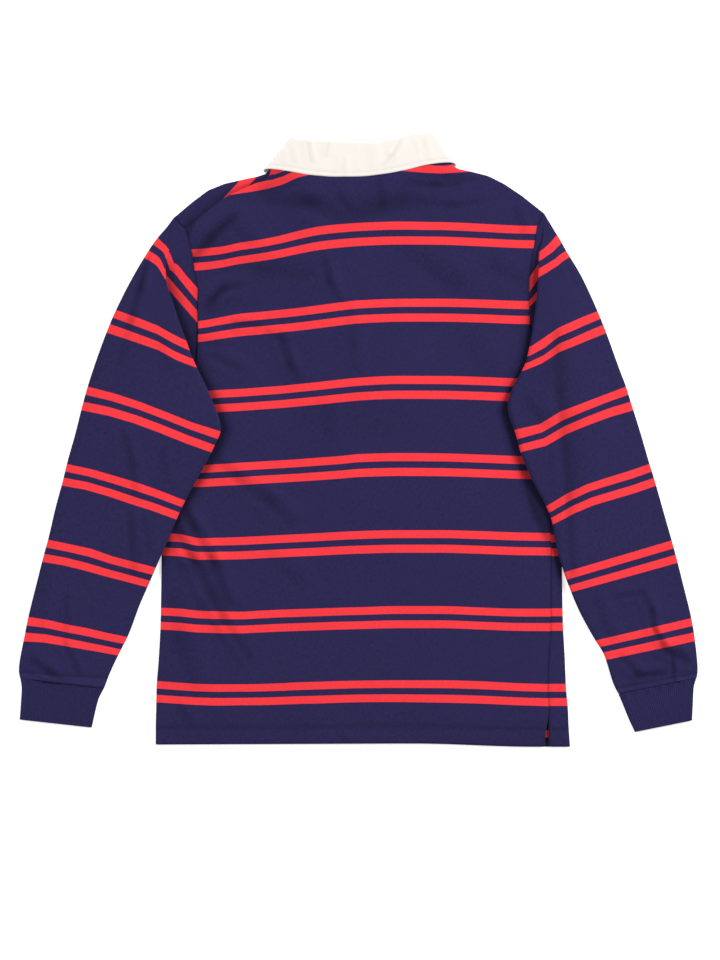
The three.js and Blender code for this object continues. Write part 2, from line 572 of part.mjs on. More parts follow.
// One sleeve section as a path round the arm: from the back's armhole (or the underarm seam)
// out to the hidden turn, back to the inner fold, over to the outer fold and along underneath
function sleeveSection(row, index, side) {
  const out = plan(row.outX, row.outY);
  const inner = plan(row.inX, row.inY);
  const outward = out.clone().sub(inner).normalize();
  const inward = outward.clone().negate();
  const { turn, back, front } = index < HEAD_ROWS
    ? headTurn(row, index, outward, side)
    : dropTurn(row, index, outward);
  const rise = row.top - row.low;
  const reach = Math.min(rise / 2, WIDEST_FOLD);
  const innerFold = rise < SMOOTH_INNER.rise
    ? SMOOTH_INNER.shifts.map((shift, step) =>
      along(inner, outward, shift, lerp(row.low, row.top, step / (SMOOTH_INNER.shifts.length - 1))))
    : bend(along(inner, outward, reach + CLOTH / 2, row.low + rise / 2), inward, DOWN, UP,
      reach, rise / 2, SLEEVE_STEPS.fold);
  const edgeTop = BACK_LEVEL + OUTER_PUFF.height * (1 - Math.exp(-index / OUTER_PUFF.rows));
  const outerFold = bend(
    along(out, inward, OUTER_FOLD + CLOTH / 2, (edgeTop + FRONT_LEVEL) / 2), outward, UP, DOWN,
    OUTER_FOLD, (edgeTop - FRONT_LEVEL) / 2, SLEEVE_STEPS.fold,
  );
  const start = innerFold[innerFold.length - 1];
  const upper = between(start, outerFold[0], SLEEVE_STEPS.over);
  upper.forEach((at, step) => {
    const share = (step + 1) / SLEEVE_STEPS.over;
    at.z = lerp(start.z, edgeTop, share * share);
  });
  return [
    back, ...between(back, turn[0], SLEEVE_STEPS.lead), ...turn,
    ...between(turn[turn.length - 1], innerFold[0], SLEEVE_STEPS.under), ...innerFold,
    ...upper, ...outerFold,
    ...between(outerFold[outerFold.length - 1], front, SLEEVE_STEPS.below), front,
  ];
}
const sided = (grid, side) => (side < 0 ? grid.map((row) => [...row].reverse()) : grid);
function sleeve(rows, side) {
  return clothWall(sided(rows.map((row, index) => sleeveSection(row, index, side)), side), CLOTH);
}

// A cuff is a flattened tube, open at both ends, with a hairline seam underneath
const CUFF_SEAM = 8;
const CUFF_STEPS = 4;
function cuff(rows, side) {
  const rise = CUFF_TOP - FRONT_LEVEL;
  const middle = FRONT_LEVEL + rise / 2;
  const inset = OUTER_FOLD + CLOTH / 2;
  const grid = rows.map((row) => {
    const out = plan(row.outX, row.outY);
    const inner = plan(row.inX, row.inY);
    const outward = out.clone().sub(inner).normalize();
    const inward = outward.clone().negate();
    const innerFold = bend(along(inner, outward, inset, middle), inward, DOWN, UP, OUTER_FOLD, rise / 2,
      CUFF_STEPS);
    const outerFold = bend(along(out, inward, inset, middle), outward, UP, DOWN, OUTER_FOLD, rise / 2,
      CUFF_STEPS);
    const back = along(innerFold[0], outward, CUFF_SEAM, FRONT_LEVEL);
    const front = along(innerFold[0], outward, CUFF_SEAM + SEAM_GAP, FRONT_LEVEL);
    return [back, ...innerFold, ...between(innerFold[CUFF_STEPS], outerFold[0], CUFF_STEPS),
      ...outerFold, ...between(outerFold[CUFF_STEPS], front, CUFF_STEPS), front];
  });
  return clothWall(sided(grid, side), CLOTH);
}

// The collar: each section runs from the neck seam up the stand, over the fold line and down
// the fall; its offset from the middle of the neck turns with the section
const COLLAR_STEPS = { stand: 2, fold: 4, fall: 3 };
function collar() {
  const grid = COLLAR_ROWS.map((row) => {
    const angle = THREE.MathUtils.degToRad(row.turn);
    const seam = plan(row.seamX, row.seamY);
    const fold = plan(row.foldX, row.foldY);
    const edge = plan(row.edgeX, row.edgeY);
    const up = fold.clone().sub(seam).normalize();
    const side = Math.sign(row.seamX);
    const slant = fold.clone().sub(edge).normalize();
    const outward = side < 0 ? plan(-slant.y, slant.x) : plan(slant.y, -slant.x);
    const fallInset = (FALL_RADIUS - FOLD_RADIUS) * Math.sin(angle);
    const place = (at, radius) => new THREE.Vector3(
      at.x + outward.x * (radius * Math.sin(angle) - fallInset),
      at.y + outward.y * (radius * Math.sin(angle) - fallInset),
      COLLAR_MIDDLE + radius * Math.cos(angle),
    );
    const points = [];
    const foldMiddle = (STAND_RADIUS + FALL_RADIUS) / 2;
    const foldRadius = (FALL_RADIUS - STAND_RADIUS) / 2;
    for (let step = 0; step < COLLAR_STEPS.stand; step += 1) {
      points.push(place(seam.clone().lerp(fold, step / COLLAR_STEPS.stand), STAND_RADIUS));
    }
    for (let step = 0; step <= COLLAR_STEPS.fold; step += 1) {
      const turn = (Math.PI * step) / COLLAR_STEPS.fold;
      const at = fold.clone().addScaledVector(up, foldRadius * Math.sin(turn));
      points.push(place(at, foldMiddle - foldRadius * Math.cos(turn)));
    }
    for (let step = 1; step <= COLLAR_STEPS.fall; step += 1) {
      points.push(place(fold.clone().lerp(edge, step / COLLAR_STEPS.fall), FALL_RADIUS));
    }
    return points;
  });
  return clothWall(grid, CLOTH);
}

// The placket's two strips, which lie in the slot at the middle of the front
function strip(level, narrower) {
  const width = PLACKET.width - narrower;
  const height = PLACKET.top - PLACKET.bottom;
  const geometry = new THREE.BoxGeometry(width, height, PLACKET.cloth);
  geometry.translate(0, (PLACKET.top + PLACKET.bottom) / 2, level);
  return geometry;
}
function cutSlot(geometry) {
  const asManifold = (shape) => {
    const bare = shape.clone();
    bare.deleteAttribute('normal');
    bare.deleteAttribute('uv');
    const merged = mergeVertices(bare, 1e-4);
    return new wasm.Manifold(new wasm.Mesh({
      numProp: 3,
      vertProperties: new Float32Array(merged.attributes.position.array),
      triVerts: new Uint32Array(merged.index.array),
    }));
  };
  const slotTop = PLACKET.top + SLOT.above;
  const slotBottom = PLACKET.bottom - SEAM_GAP;
  const slotWidth = PLACKET.width + 2 * SEAM_GAP;
  const slot = new THREE.BoxGeometry(slotWidth, slotTop - slotBottom, SLOT.depth);
  slot.translate(0, (slotTop + slotBottom) / 2, 0);
  const cut = asManifold(geometry).subtract(asManifold(slot)).getMesh();
  const result = new THREE.BufferGeometry();
  result.setAttribute('position', new THREE.Float32BufferAttribute(cut.vertProperties, 3));
  result.setIndex(new THREE.BufferAttribute(new Uint32Array(cut.triVerts), 1));
  return result;
}

// A rubber button: a disc with a rounded rim, its face on the surface the shirt lies on
function button() {
  const { radius, thickness, rimIn, rimUp, sides } = BUTTON;
  const profile = [
    plan(0, 0), plan(radius - rimIn, 0), plan(radius, rimUp),
    plan(radius, thickness - rimUp), plan(radius - rimIn, thickness), plan(0, thickness),
  ];
  return new THREE.LatheGeometry(profile, sides);
}

const FINISHES = {
  jersey: { color: 0x2d2850, roughness: 0.92, metalness: 0 },
  rib: { color: 0x2a264a, roughness: 0.95, metalness: 0 },
  twill: { color: 0xf3efe6, roughness: 0.85, metalness: 0 },
  rubber: { color: 0xe9e6dc, roughness: 0.55, metalness: 0 },
};
const shirt = new THREE.Group();
function add(name, geometry, finish) {
  const mesh = new THREE.Mesh(geometry, new THREE.MeshStandardMaterial(FINISHES[finish]));
  mesh.name = name;
  shirt.add(mesh);
  return mesh;
}

// The front's outside faces down, so its rows are read the other way
const mirrored = (grid) => grid.map((row) => [...row].reverse());
add('front', cutSlot(clothWall(mirrored(bodyPanel(true)), CLOTH)), 'jersey');
add('back', clothWall(bodyPanel(false), CLOTH), 'jersey');
add('sleeve_left', sleeve(LEFT_SLEEVE, -1), 'jersey');
add('sleeve_right', sleeve(RIGHT_SLEEVE, 1), 'jersey');
add('cuff_left', cuff(LEFT_CUFF, -1), 'rib');
add('cuff_right', cuff(RIGHT_CUFF, 1), 'rib');
add('collar', collar(), 'twill');
add('placket_outer', strip(PLACKET.level, 0), 'twill');
add('placket_under', strip(PLACKET.level + PLACKET.cloth + SEAM_GAP, PLACKET.underIn), 'twill');
BUTTON.y.forEach((y, index) => {
  const mesh = add(`button_${index + 1}`, button(), 'rubber');
  mesh.rotation.x = Math.PI / 2;
  mesh.position.set(0, y, 0);
});

export default shirt;
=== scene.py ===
"""Striped rugby shirt, laid flat on its front with its back up: cloth, sewing, stage and camera.

Sizes in the tables are millimetres in the frame of the model: +X to the right of the picture,
+Y towards the collar, +Z up from the surface the shirt lies on. Meshes are made in metres.
"""

import bpy
import numpy as np
from bpy.props import FloatProperty, FloatVectorProperty, PointerProperty
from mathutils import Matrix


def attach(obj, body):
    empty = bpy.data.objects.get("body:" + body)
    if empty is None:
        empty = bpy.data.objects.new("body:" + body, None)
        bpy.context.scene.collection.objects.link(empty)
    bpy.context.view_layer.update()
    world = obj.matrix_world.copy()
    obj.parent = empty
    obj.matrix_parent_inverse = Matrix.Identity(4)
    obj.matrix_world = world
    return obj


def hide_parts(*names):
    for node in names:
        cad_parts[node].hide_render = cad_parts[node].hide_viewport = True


bl_info = {
    "name": "Rugby shirt laid flat",
    "version": (1, 0, 0),
    "blender": (4, 5, 0),
    "location": "View3D > Sidebar > Rugby shirt",
    "description": "Dresses the rugby shirt with striped cloth, folds and sewing",
    "category": "Object",
}

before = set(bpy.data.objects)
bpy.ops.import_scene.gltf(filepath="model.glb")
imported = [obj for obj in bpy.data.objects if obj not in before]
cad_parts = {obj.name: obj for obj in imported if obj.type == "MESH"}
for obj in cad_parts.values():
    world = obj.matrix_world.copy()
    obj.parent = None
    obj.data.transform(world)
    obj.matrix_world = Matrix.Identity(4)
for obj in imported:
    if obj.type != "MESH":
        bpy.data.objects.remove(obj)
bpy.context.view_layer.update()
MM = 0.001


def table(columns, rows):
    """A table's columns by name, each an array with one value for each row."""
    values = np.array(rows, float)
    return {name: values[:, index] for index, name in enumerate(columns.split())}


# Cloth layers and seams
LAYER = 1.8
SEAM_GAP = 0.3
TIP_GAP = 0.45
FRONT_LEVEL = 0.75
BACK_LEVEL = FRONT_LEVEL + LAYER
FOLD_RADIUS = LAYER / 2
FOLD_INSET = FOLD_RADIUS + 0.75
FOLD_LENGTH = np.pi * FOLD_RADIUS

# The body's courses
HEM_Y = -379.0
SAG = {"start_x": 46.0, "run_x": 244.0, "most": 1.25, "at_hem": 1.0, "per_height": 0.05}
RIGHT_SAG = {"start_x": 70.0, "run_x": 150.0, "depth": 4.0}

# Body width for each height above the hem, how far in from each edge the side seams lie, and
# the opening of the vent
BODY_ROWS = table("height left right seam_left seam_right vent", [
    [0, -253.5, 264.5, 22, 27, 5.5],
    [22, -253.5, 263, 22, 25.5, 3],
    [45, -253, 262, 22, 24, 0],
    [75, -252.5, 259.5, 22, 23, 0],
    [110, -250, 258, 20, 20.5, 0],
    [160, -247.5, 255.5, 18, 15, 0],
    [220, -246.5, 254.5, 16, 14, 0],
    [290, -246, 254, 14, 13, 0],
    [350, -245.5, 252.5, 9, 9, 0],
    [400, -245, 252, 5, 5, 0],
])
# Armholes from the underarm to the shoulder, and how far the front's course dips in the middle
ARMHOLES = table("left_x left_y right_x right_y dip", [
    [-245, 32.5, 252, 39, 0],
    [-220.5, 54, 233, 65, 0],
    [-207, 85, 222, 97.5, 0],
    [-202, 102.5, 217, 122.5, 0],
    [-200.5, 132.5, 214.5, 150, 4],
    [-200.5, 155, 213, 175, 13],
    [-200.5, 184, 213.5, 199, 27],
    [-204.5, 211, 215.5, 221, 44],
    [-208.5, 237.5, 219, 241, 60],
    [-216, 263, 223, 266, 68],
])
NECK_DIP = {"flat": 20.0, "ramp": 120.0}
SHORTER_TOP = 0.4
# Under the vent at the right: a dark strip painted as the gap's shadow, and a red tack at its end,
# as least and most x, y and z
VENT_SHADOW_STRIP = [229.0, 239.5, -377.0, -333.0, 1.42, 1.62]
VENT_TACK = [230.5, 238.5, -371.5, -362.5, 1.62, 1.82]
# Shoulders from the arm to the neck point: the outline's fold and the seam in from it
LEFT_SHOULDER = table("fold_x fold_y seam_x seam_y", [
    [-231, 277.5, -216, 263],
    [-208, 297, -193, 282.5],
    [-188, 312, -173, 299],
    [-168, 320, -157, 308],
    [-143, 325.5, -134.5, 318],
    [-126, 329, -119, 324.5],
    [-116.5, 332, -111.5, 329],
    [-108, 342.5, -108, 342.5],
])
RIGHT_SHOULDER = table("fold_x fold_y seam_x seam_y", [
    [231, 284, 223, 266],
    [204.5, 305, 192, 289.5],
    [182, 320, 174, 307.5],
    [162, 330, 158, 321],
    [139.5, 335.5, 138, 329.5],
    [125, 338.5, 123.5, 334.5],
    [119, 342, 117, 338.5],
    [111, 350.5, 111, 350.5],
])
NECK_WAY_IN = np.array([0.62, -0.78])
# Necklines from one neck point to the other
NECKLINES = table("x back front", [
    [-108, 342.5, 342.5],
    [-85.5, 341, 309],
    [-58, 338, 281],
    [-28, 336, 265],
    [0, 336, 260],
    [28, 338.5, 266],
    [58, 343, 284],
    [86, 348, 313],
    [111, 350.5, 350.5],
])
# Sleeve sections from the head to the cuff seam. course: cloth down from the first stripe;
# out: outer fold; in: inner fold on the body; top: height there; low: height of the layer
# under it; tuck: the hidden turn at the head, then where the under layer leaves the body
LEFT_SLEEVE = table("course out_x out_y in_x in_y top low tuck_x tuck_y", [
    [-32, -231.4, 277.1, -225.9, 271.9, 2.55, 2.55, -220.8, 267.1],
    [-21, -240, 265.5, -229.5, 256.5, 2.7, 2.55, -219.5, 247],
    [-10, -247.5, 257, -234.5, 243.5, 2.9, 2.6, -221.5, 229],
    [0, -254, 249, -236.5, 237, 3.8, 2.9, -228, 222],
    [19.5, -265, 232.5, -241, 210, 6.2, 4.2, -240, 195],
    [57, -283, 202, -229.5, 165, 7.6, 4.45, -242, 161],
    [95.5, -303.1, 162.5, -214.5, 122.5, 8.8, 4.45, -243, 125],
    [115, -311.8, 142.5, -206, 100, 9.4, 4.45, -244, 105],
    [157, -328.5, 97.5, -186, 57.5, 11, 4.45, -246, 66],
    [191, -338.3, 67.5, -171.5, 14, 12, 4.45, -243.6, 36],
    [210.5, -344, 47.5, -179.5, -7.5, 12, 4.45, -243.6, 14],
    [248.5, -354.1, 7.5, -195.5, -39, 10.5, 4.45, -243.8, -25],
    [286.5, -364.3, -29, -215, -74, 9, 4.45, -244, -65.5],
    [306, -369.1, -49, -224.5, -94, 8.5, 4.45, -244.2, -88],
    [344, -378.8, -85, -237.5, -125, 7.6, 4.45, -244.6, -123],
    [382.5, -387.9, -124, -252.5, -159, 7, 4.3, -257, -158],
    [402, -393.4, -144, -260.5, -177.5, 6, 2.6, -267, -176],
    [440, -402.8, -181, -273, -206, 5, 0.75, -280, -204.5],
    [478, -412.7, -221, -288, -245.5, 4.6, 0.75, -295, -244],
    [497.5, -417, -242.5, -297, -263, 4.8, 0.75, -304, -262],
    [541, -424.5, -288, -311.5, -294, 5, 0.75, -318.5, -293.5],
    [553, -423, -297.5, -317.5, -310, 4.2, 0.75, -324.5, -309],
])
RIGHT_SLEEVE = table("course out_x out_y in_x in_y top low tuck_x tuck_y", [
    [-32, 231.5, 283.8, 229, 277.8, 2.55, 2.55, 226.5, 271.8],
    [-21, 237.5, 274, 231, 263, 3, 2.6, 225.5, 252.5],
    [-10, 244.5, 262.5, 229.5, 248, 4, 3, 225.5, 236],
    [0, 252.5, 249.5, 225.5, 235, 6, 4.2, 227.5, 220],
    [19.5, 260, 236, 224.5, 212.5, 8, 4.45, 230, 196],
    [57, 278.5, 205, 221.5, 171, 9.6, 4.45, 235, 158],
    [95.5, 298.9, 161, 214, 120, 10.5, 4.45, 241.5, 119],
    [115, 307.1, 141, 209.5, 100, 11, 4.45, 246, 97.5],
    [168, 327, 86.5, 186, 40, 12, 4.45, 252, 66],
    [191, 334.2, 67.5, 197, 4, 12, 4.45, 250.6, 31],
    [210.5, 340.5, 47.5, 202, -15, 11.5, 4.45, 250.6, 7],
    [248.5, 353, 7.5, 217, -51, 10.5, 4.45, 251, -36],
    [286.5, 363.6, -29, 234.5, -84, 9, 4.45, 251.5, -77],
    [306, 369.4, -47.5, 240.5, -99, 8.5, 4.45, 251.7, -94.5],
    [344, 380.1, -85, 246.5, -131, 7.8, 4.45, 252.4, -129],
    [382.5, 391.5, -125, 256, -165, 7.4, 4.45, 260, -164],
    [402, 396.7, -144, 262.5, -182.5, 6.8, 3.6, 269, -180.5],
    [440, 406.4, -182.5, 275, -212.5, 5.4, 1.2, 282, -211],
    [478, 416, -222, 295.5, -250, 4.6, 0.75, 302.5, -248],
    [497.5, 419.4, -241, 305.5, -266, 4.8, 0.75, 312.5, -264.5],
    [541, 424, -288, 319.5, -307.5, 5, 0.75, 326.5, -306],
    [553, 422.5, -297.5, 324.5, -317, 4.2, 0.75, 331.5, -315.5],
])
HEAD_ROWS = 9
# Cuffs from the sleeve's seam to the open end
LEFT_CUFF = table("out_x out_y in_x in_y", [
    [-422.5, -298, -318, -310.6],
    [-421, -310, -324.5, -323.5],
    [-422, -330, -329, -341],
    [-423.5, -349, -333, -359],
])
RIGHT_CUFF = table("out_x out_y in_x in_y", [
    [422, -298, 324.8, -317.8],
    [419, -310, 330, -330],
    [418, -330, 337.5, -348.5],
    [417, -350, 345, -364.5],
])
CUFF_TOP = 3.4
RIB = 2.4
# Collar sections from the left front end round the back to the right one: neck seam, fold
# line, loose edge, and the turn from 180 degrees (underneath) to 0 (on top)
COLLAR_ROWS = table("seam_x seam_y fold_x fold_y edge_x edge_y turn", [
    [-3, 261.8, -5, 286, -45, 232, 180],
    [-28, 266.2, -23, 307, -64, 257, 180],
    [-58, 282.2, -44, 331, -84, 283, 180],
    [-85.5, 310.5, -65, 355, -103, 311, 180],
    [-103.5, 344, -83, 376, -116.5, 333.5, 180],
    [-104, 345, -83.8, 376.6, -117.8, 335, 135],
    [-104, 345.2, -84, 377, -118.2, 336, 90],
    [-103.5, 345, -83.6, 376.8, -117.4, 337, 45],
    [-101, 343.6, -80, 375.6, -112, 338.5, 0],
    [-85.5, 341.8, -62, 373.4, -90, 336, 0],
    [-58, 338.8, -42, 372.6, -60, 331, 0],
    [-28, 336.8, -20, 371.5, -28, 328.8, 0],
    [0, 336.8, 4, 371, 0, 329, 0],
    [28, 339.3, 28, 372, 30, 332, 0],
    [58, 343.8, 50, 377, 60, 337.5, 0],
    [86, 348.8, 73, 381.5, 90, 344.5, 0],
    [104, 351.4, 91, 383, 113, 346.5, 0],
    [106.5, 352.8, 94.4, 383.3, 120, 345, 45],
    [107, 353, 95, 383.3, 121.4, 343.6, 90],
    [107, 352.6, 94.6, 382.8, 121, 342, 135],
    [106.5, 351.4, 93.5, 381.6, 119.5, 340, 180],
    [86, 314.5, 72, 357, 103, 312, 180],
    [58, 285.2, 49, 332, 86, 285, 180],
    [28, 267.2, 27, 308, 68, 259, 180],
    [3, 261.8, 6, 286, 50, 234, 180],
])
NECK_LIFT = LAYER
NECK_MOUND = {"x": 0.0, "y": 312.0, "half_x": 135.0, "half_y": 105.0, "ramp": 0.42}
PLACKET = {"width": 32.0, "top": 258.0, "bottom": 92.0}
PLACKET_MOUND = {"ramp": 55.0, "above": 6.0}
FRONT_OVER_BUTTONS = {"lift": 2.7, "flat": 22.0}
BACK_OVER_PLACKET = {"lift": 4.4, "flat": 34.0}
BUTTON_Y = [238.0, 180.0, 122.0]

# Striped cloth: the cloth's own even spacing, and the height above the hem at which the lower
# edge of each pair's upper stripe lies where the cloth doesn't sag
STRIPE_PITCH = 95.6
STRIPE_COURSES = np.array([-12.4, 79.4, 172.5, 266.9, 363.1, 459.4, 555.6, 651.9, 729.7, 735.5, 746.0, 842.0])
STRIPE_CLOTH = np.array([0, 1, 2, 3, 4, 5, 6, 7, 7.808, 7.9, 8, 9]) * STRIPE_PITCH
# How far courses of the back sag, in steps of the scale the shirt was measured at: a column for
# each place across, a row for each height above the hem
SAG_STEP = 1.25
SAG_X = np.array([-248, -223, -198, -173, -148, -123, -98, -73, -48, -23, 2, 52, 102, 152, 202, 245])
SAG_HEIGHTS = np.array([0, 79.4, 172.5, 266.9, 363.1, 459.4, 555.6, 651.9, 720, 800])
SAGS = np.array([
    [-0.5, 0.5, 1.5, 2.5, 1.5, 1.5, 1.5, 1.3, 1.0, 0.3, -0.5, 0.0, 1.5, 2.5, 3.5, 4.5],
    [1.0, 2.5, 3.7, 4.0, 4.0, 3.7, 3.0, 2.0, 1.4, 0.8, 0.4, 0.0, 0.0, 1.0, 3.0, 4.0],
    [2.0, 3.0, 5.0, 5.6, 6.0, 5.0, 4.0, 3.4, 2.7, 2.0, 1.5, 0.4, 0.4, 1.8, 3.0, 3.0],
    [3.0, 4.0, 8.0, 7.6, 7.0, 6.0, 5.0, 4.0, 3.0, 1.8, 0.9, 0.0, 0.0, 1.0, 2.4, 3.0],
    [13.0, 12.6, 12.2, 11.0, 9.8, 8.5, 7.3, 6.0, 4.5, 3.0, 1.0, 0.0, 0.3, 1.5, 3.0, 3.5],
    [17.0, 16.5, 15.5, 14.0, 13.0, 11.5, 10.0, 8.0, 6.0, 3.7, 1.8, 0.0, 0.0, 1.0, 2.5, 3.0],
    [24.0, 23.5, 22.0, 18.5, 15.0, 13.0, 11.0, 9.0, 6.4, 3.7, 1.6, 0.1, -0.2, 0.6, 2.0, 2.3],
    [28.0, 28.0, 27.0, 25.0, 21.0, 18.0, 14.0, 9.0, 5.0, 2.8, 1.4, 0.1, 0.4, 2.0, 3.8, 4.2],
    [30.0, 30.0, 29.0, 28.5, 26.0, 22.8, 18.0, 9.6, 6.0, 4.0, 2.0, 3.5, 6.1, 4.0, 4.0, 4.0],
    [30.0, 30.0, 29.0, 28.5, 26.0, 22.8, 18.0, 9.6, 6.0, 4.0, 2.0, 3.5, 6.1, 4.0, 4.0, 4.0],
])
# How often the sag is read again at the height that the last reading gave
SAG_PASSES = 5
# Where the front's cloth shows past the left shoulder: its height up the cloth is a plane
FRONT_AT_SHOULDER = {"base": 999.6, "per_x": 0.589, "per_y": -0.545, "from_y": 245.0, "ramp": 15.0}
# How much lower the front's stripes lie at the right side seam, by place up the shirt
SEAM_SHIFTS = table("y shift", [[-379, -0.4], [-215, -0.5], [-150, 0.4], [-119, 1.9], [60, 2]])
SEAM_SHIFT_START = {"x": 180.0, "ramp": 40.0}
# How far the sleeves' courses bow from straight between the folds, in the same steps: b0 is at
# the outer fold, b10 at the inner one, and the rest lie between them in tenths of the way
BOW_SHARES = np.array([0, 0.2, 0.4, 0.6, 0.8, 1.0])
BOWS = {
    "left": table("course b0 b2 b4 b6 b8 b10", [
        [-32, 0, 0, 0, 0, 0, 0],
        [0, -4.2, -4, -3.6, -3.4, -3, -0.8],
        [19.5, -3.4, -4.5, -5.4, -5.7, -4, -1],
        [57, 0, -1, -1.5, -1.5, -1, 0],
        [95.5, -0.6, -1.6, -2.5, -3.4, -1.9, -1.3],
        [115, -1.5, -2.2, -2.8, -3.4, -0.4, 0],
        [191, 0, -1.5, -1.3, 0.3, 2.3, 2],
        [210.5, 0, -3, -3.9, -3, -1.3, -0.5],
        [286.5, 0, -2, -2.3, -2.3, -1.2, 0.7],
        [306, -1.5, -4.5, -5, -4.4, -4.3, -3],
        [382.5, 0, -1, -1.9, 0, 0, 0],
        [402, -1, -2.6, -2.6, -1.8, -1.5, -1],
        [478, -0.5, -1.2, -0.5, -0.8, 0, 0],
        [497.5, -1, -2.8, -2.7, -2.2, -1.8, -1],
        [553, 0, 0, 0, 0, 0, 0],
    ]),
    "right": table("course b0 b2 b4 b6 b8 b10", [
        [-32, 0, 0, 0, 0, 0, 0],
        [-10, -3.2, -3, -2.5, -1.5, 0, 0],
        [0, -5.8, -4.5, -3, -1.9, -1, 0],
        [19.5, 0, -0.1, 0.9, 0.7, 0.6, 0],
        [95.5, -0.5, -1.5, -1.9, -2.3, 0, 2.2],
        [115, -2, -2, -1.6, -1.6, 3.4, 4.5],
        [191, 0, -1.6, -3, -4.2, -1.8, -5.6],
        [210.5, 0, -3, -4.5, -5.2, -2.6, -7],
        [286.5, 0, -1.6, -4, -6.2, -5.5, -2],
        [306, 0, -1, -3, -5, -4.5, -1.5],
        [382.5, 0, 0, 0, 0, 0, 0],
        [553, 0, 0, 0, 0, 0, 0],
    ]),
}

# How much further down the cloth the sleeve's hidden part is at the armhole and at the tuck
HIDDEN_COURSES = {
    "left": table("course edge tuck", [
        [-32, 0, 0], [-10, 0, 0], [0, 2.8, -3.5], [19.5, 3.9, 7.5], [57, -19.5, -10], [95.5, -38.5, -20],
        [115, -44, -22], [153, -30, -15], [191, -10, -5], [210.5, 0, 0]]),
    "right": table("course edge tuck", [
        [-32, 0, 0], [-10, 0, 0], [0, 3.5, 3.5], [19.5, -2.5, -2.5], [57, 0, 0]]),
}
# The painted shade under the sleeve's inner fold: its top, and how far round the hidden layers it goes
VALLEY = {"shade": 0.15, "top": 240.0, "ramp": 30.0, "layers": 2.2}
# The painted shade in the furrow of a seam and its width in steps of the grid, and the stitched band
# where the sleeve meets the cuff: its length, ramp and puff, the painted shade at its edge, and how
# much lighter its tone is
SEAM_SHADE = 0.5
SEAM_SPREAD = {"side": 0.7, "top": 0.8, "sleeve": 1.2}
END_BAND = {"length": 9.0, "ramp": 2.0, "puff": 0.4, "shade": 0.45, "light": 0.6}

# Creases: each is a furrow from one place to another in the plan, with a soft ridge of the given
# height at each side (side: 1 more on the left of its way, -1 more on the right) and a painted shade
# for the cloth that lies deep in it, standing in for the shadow there; wide, low rows paint broad shade
FOLD_COLUMNS = "from_x from_y to_x to_y width height side shade"
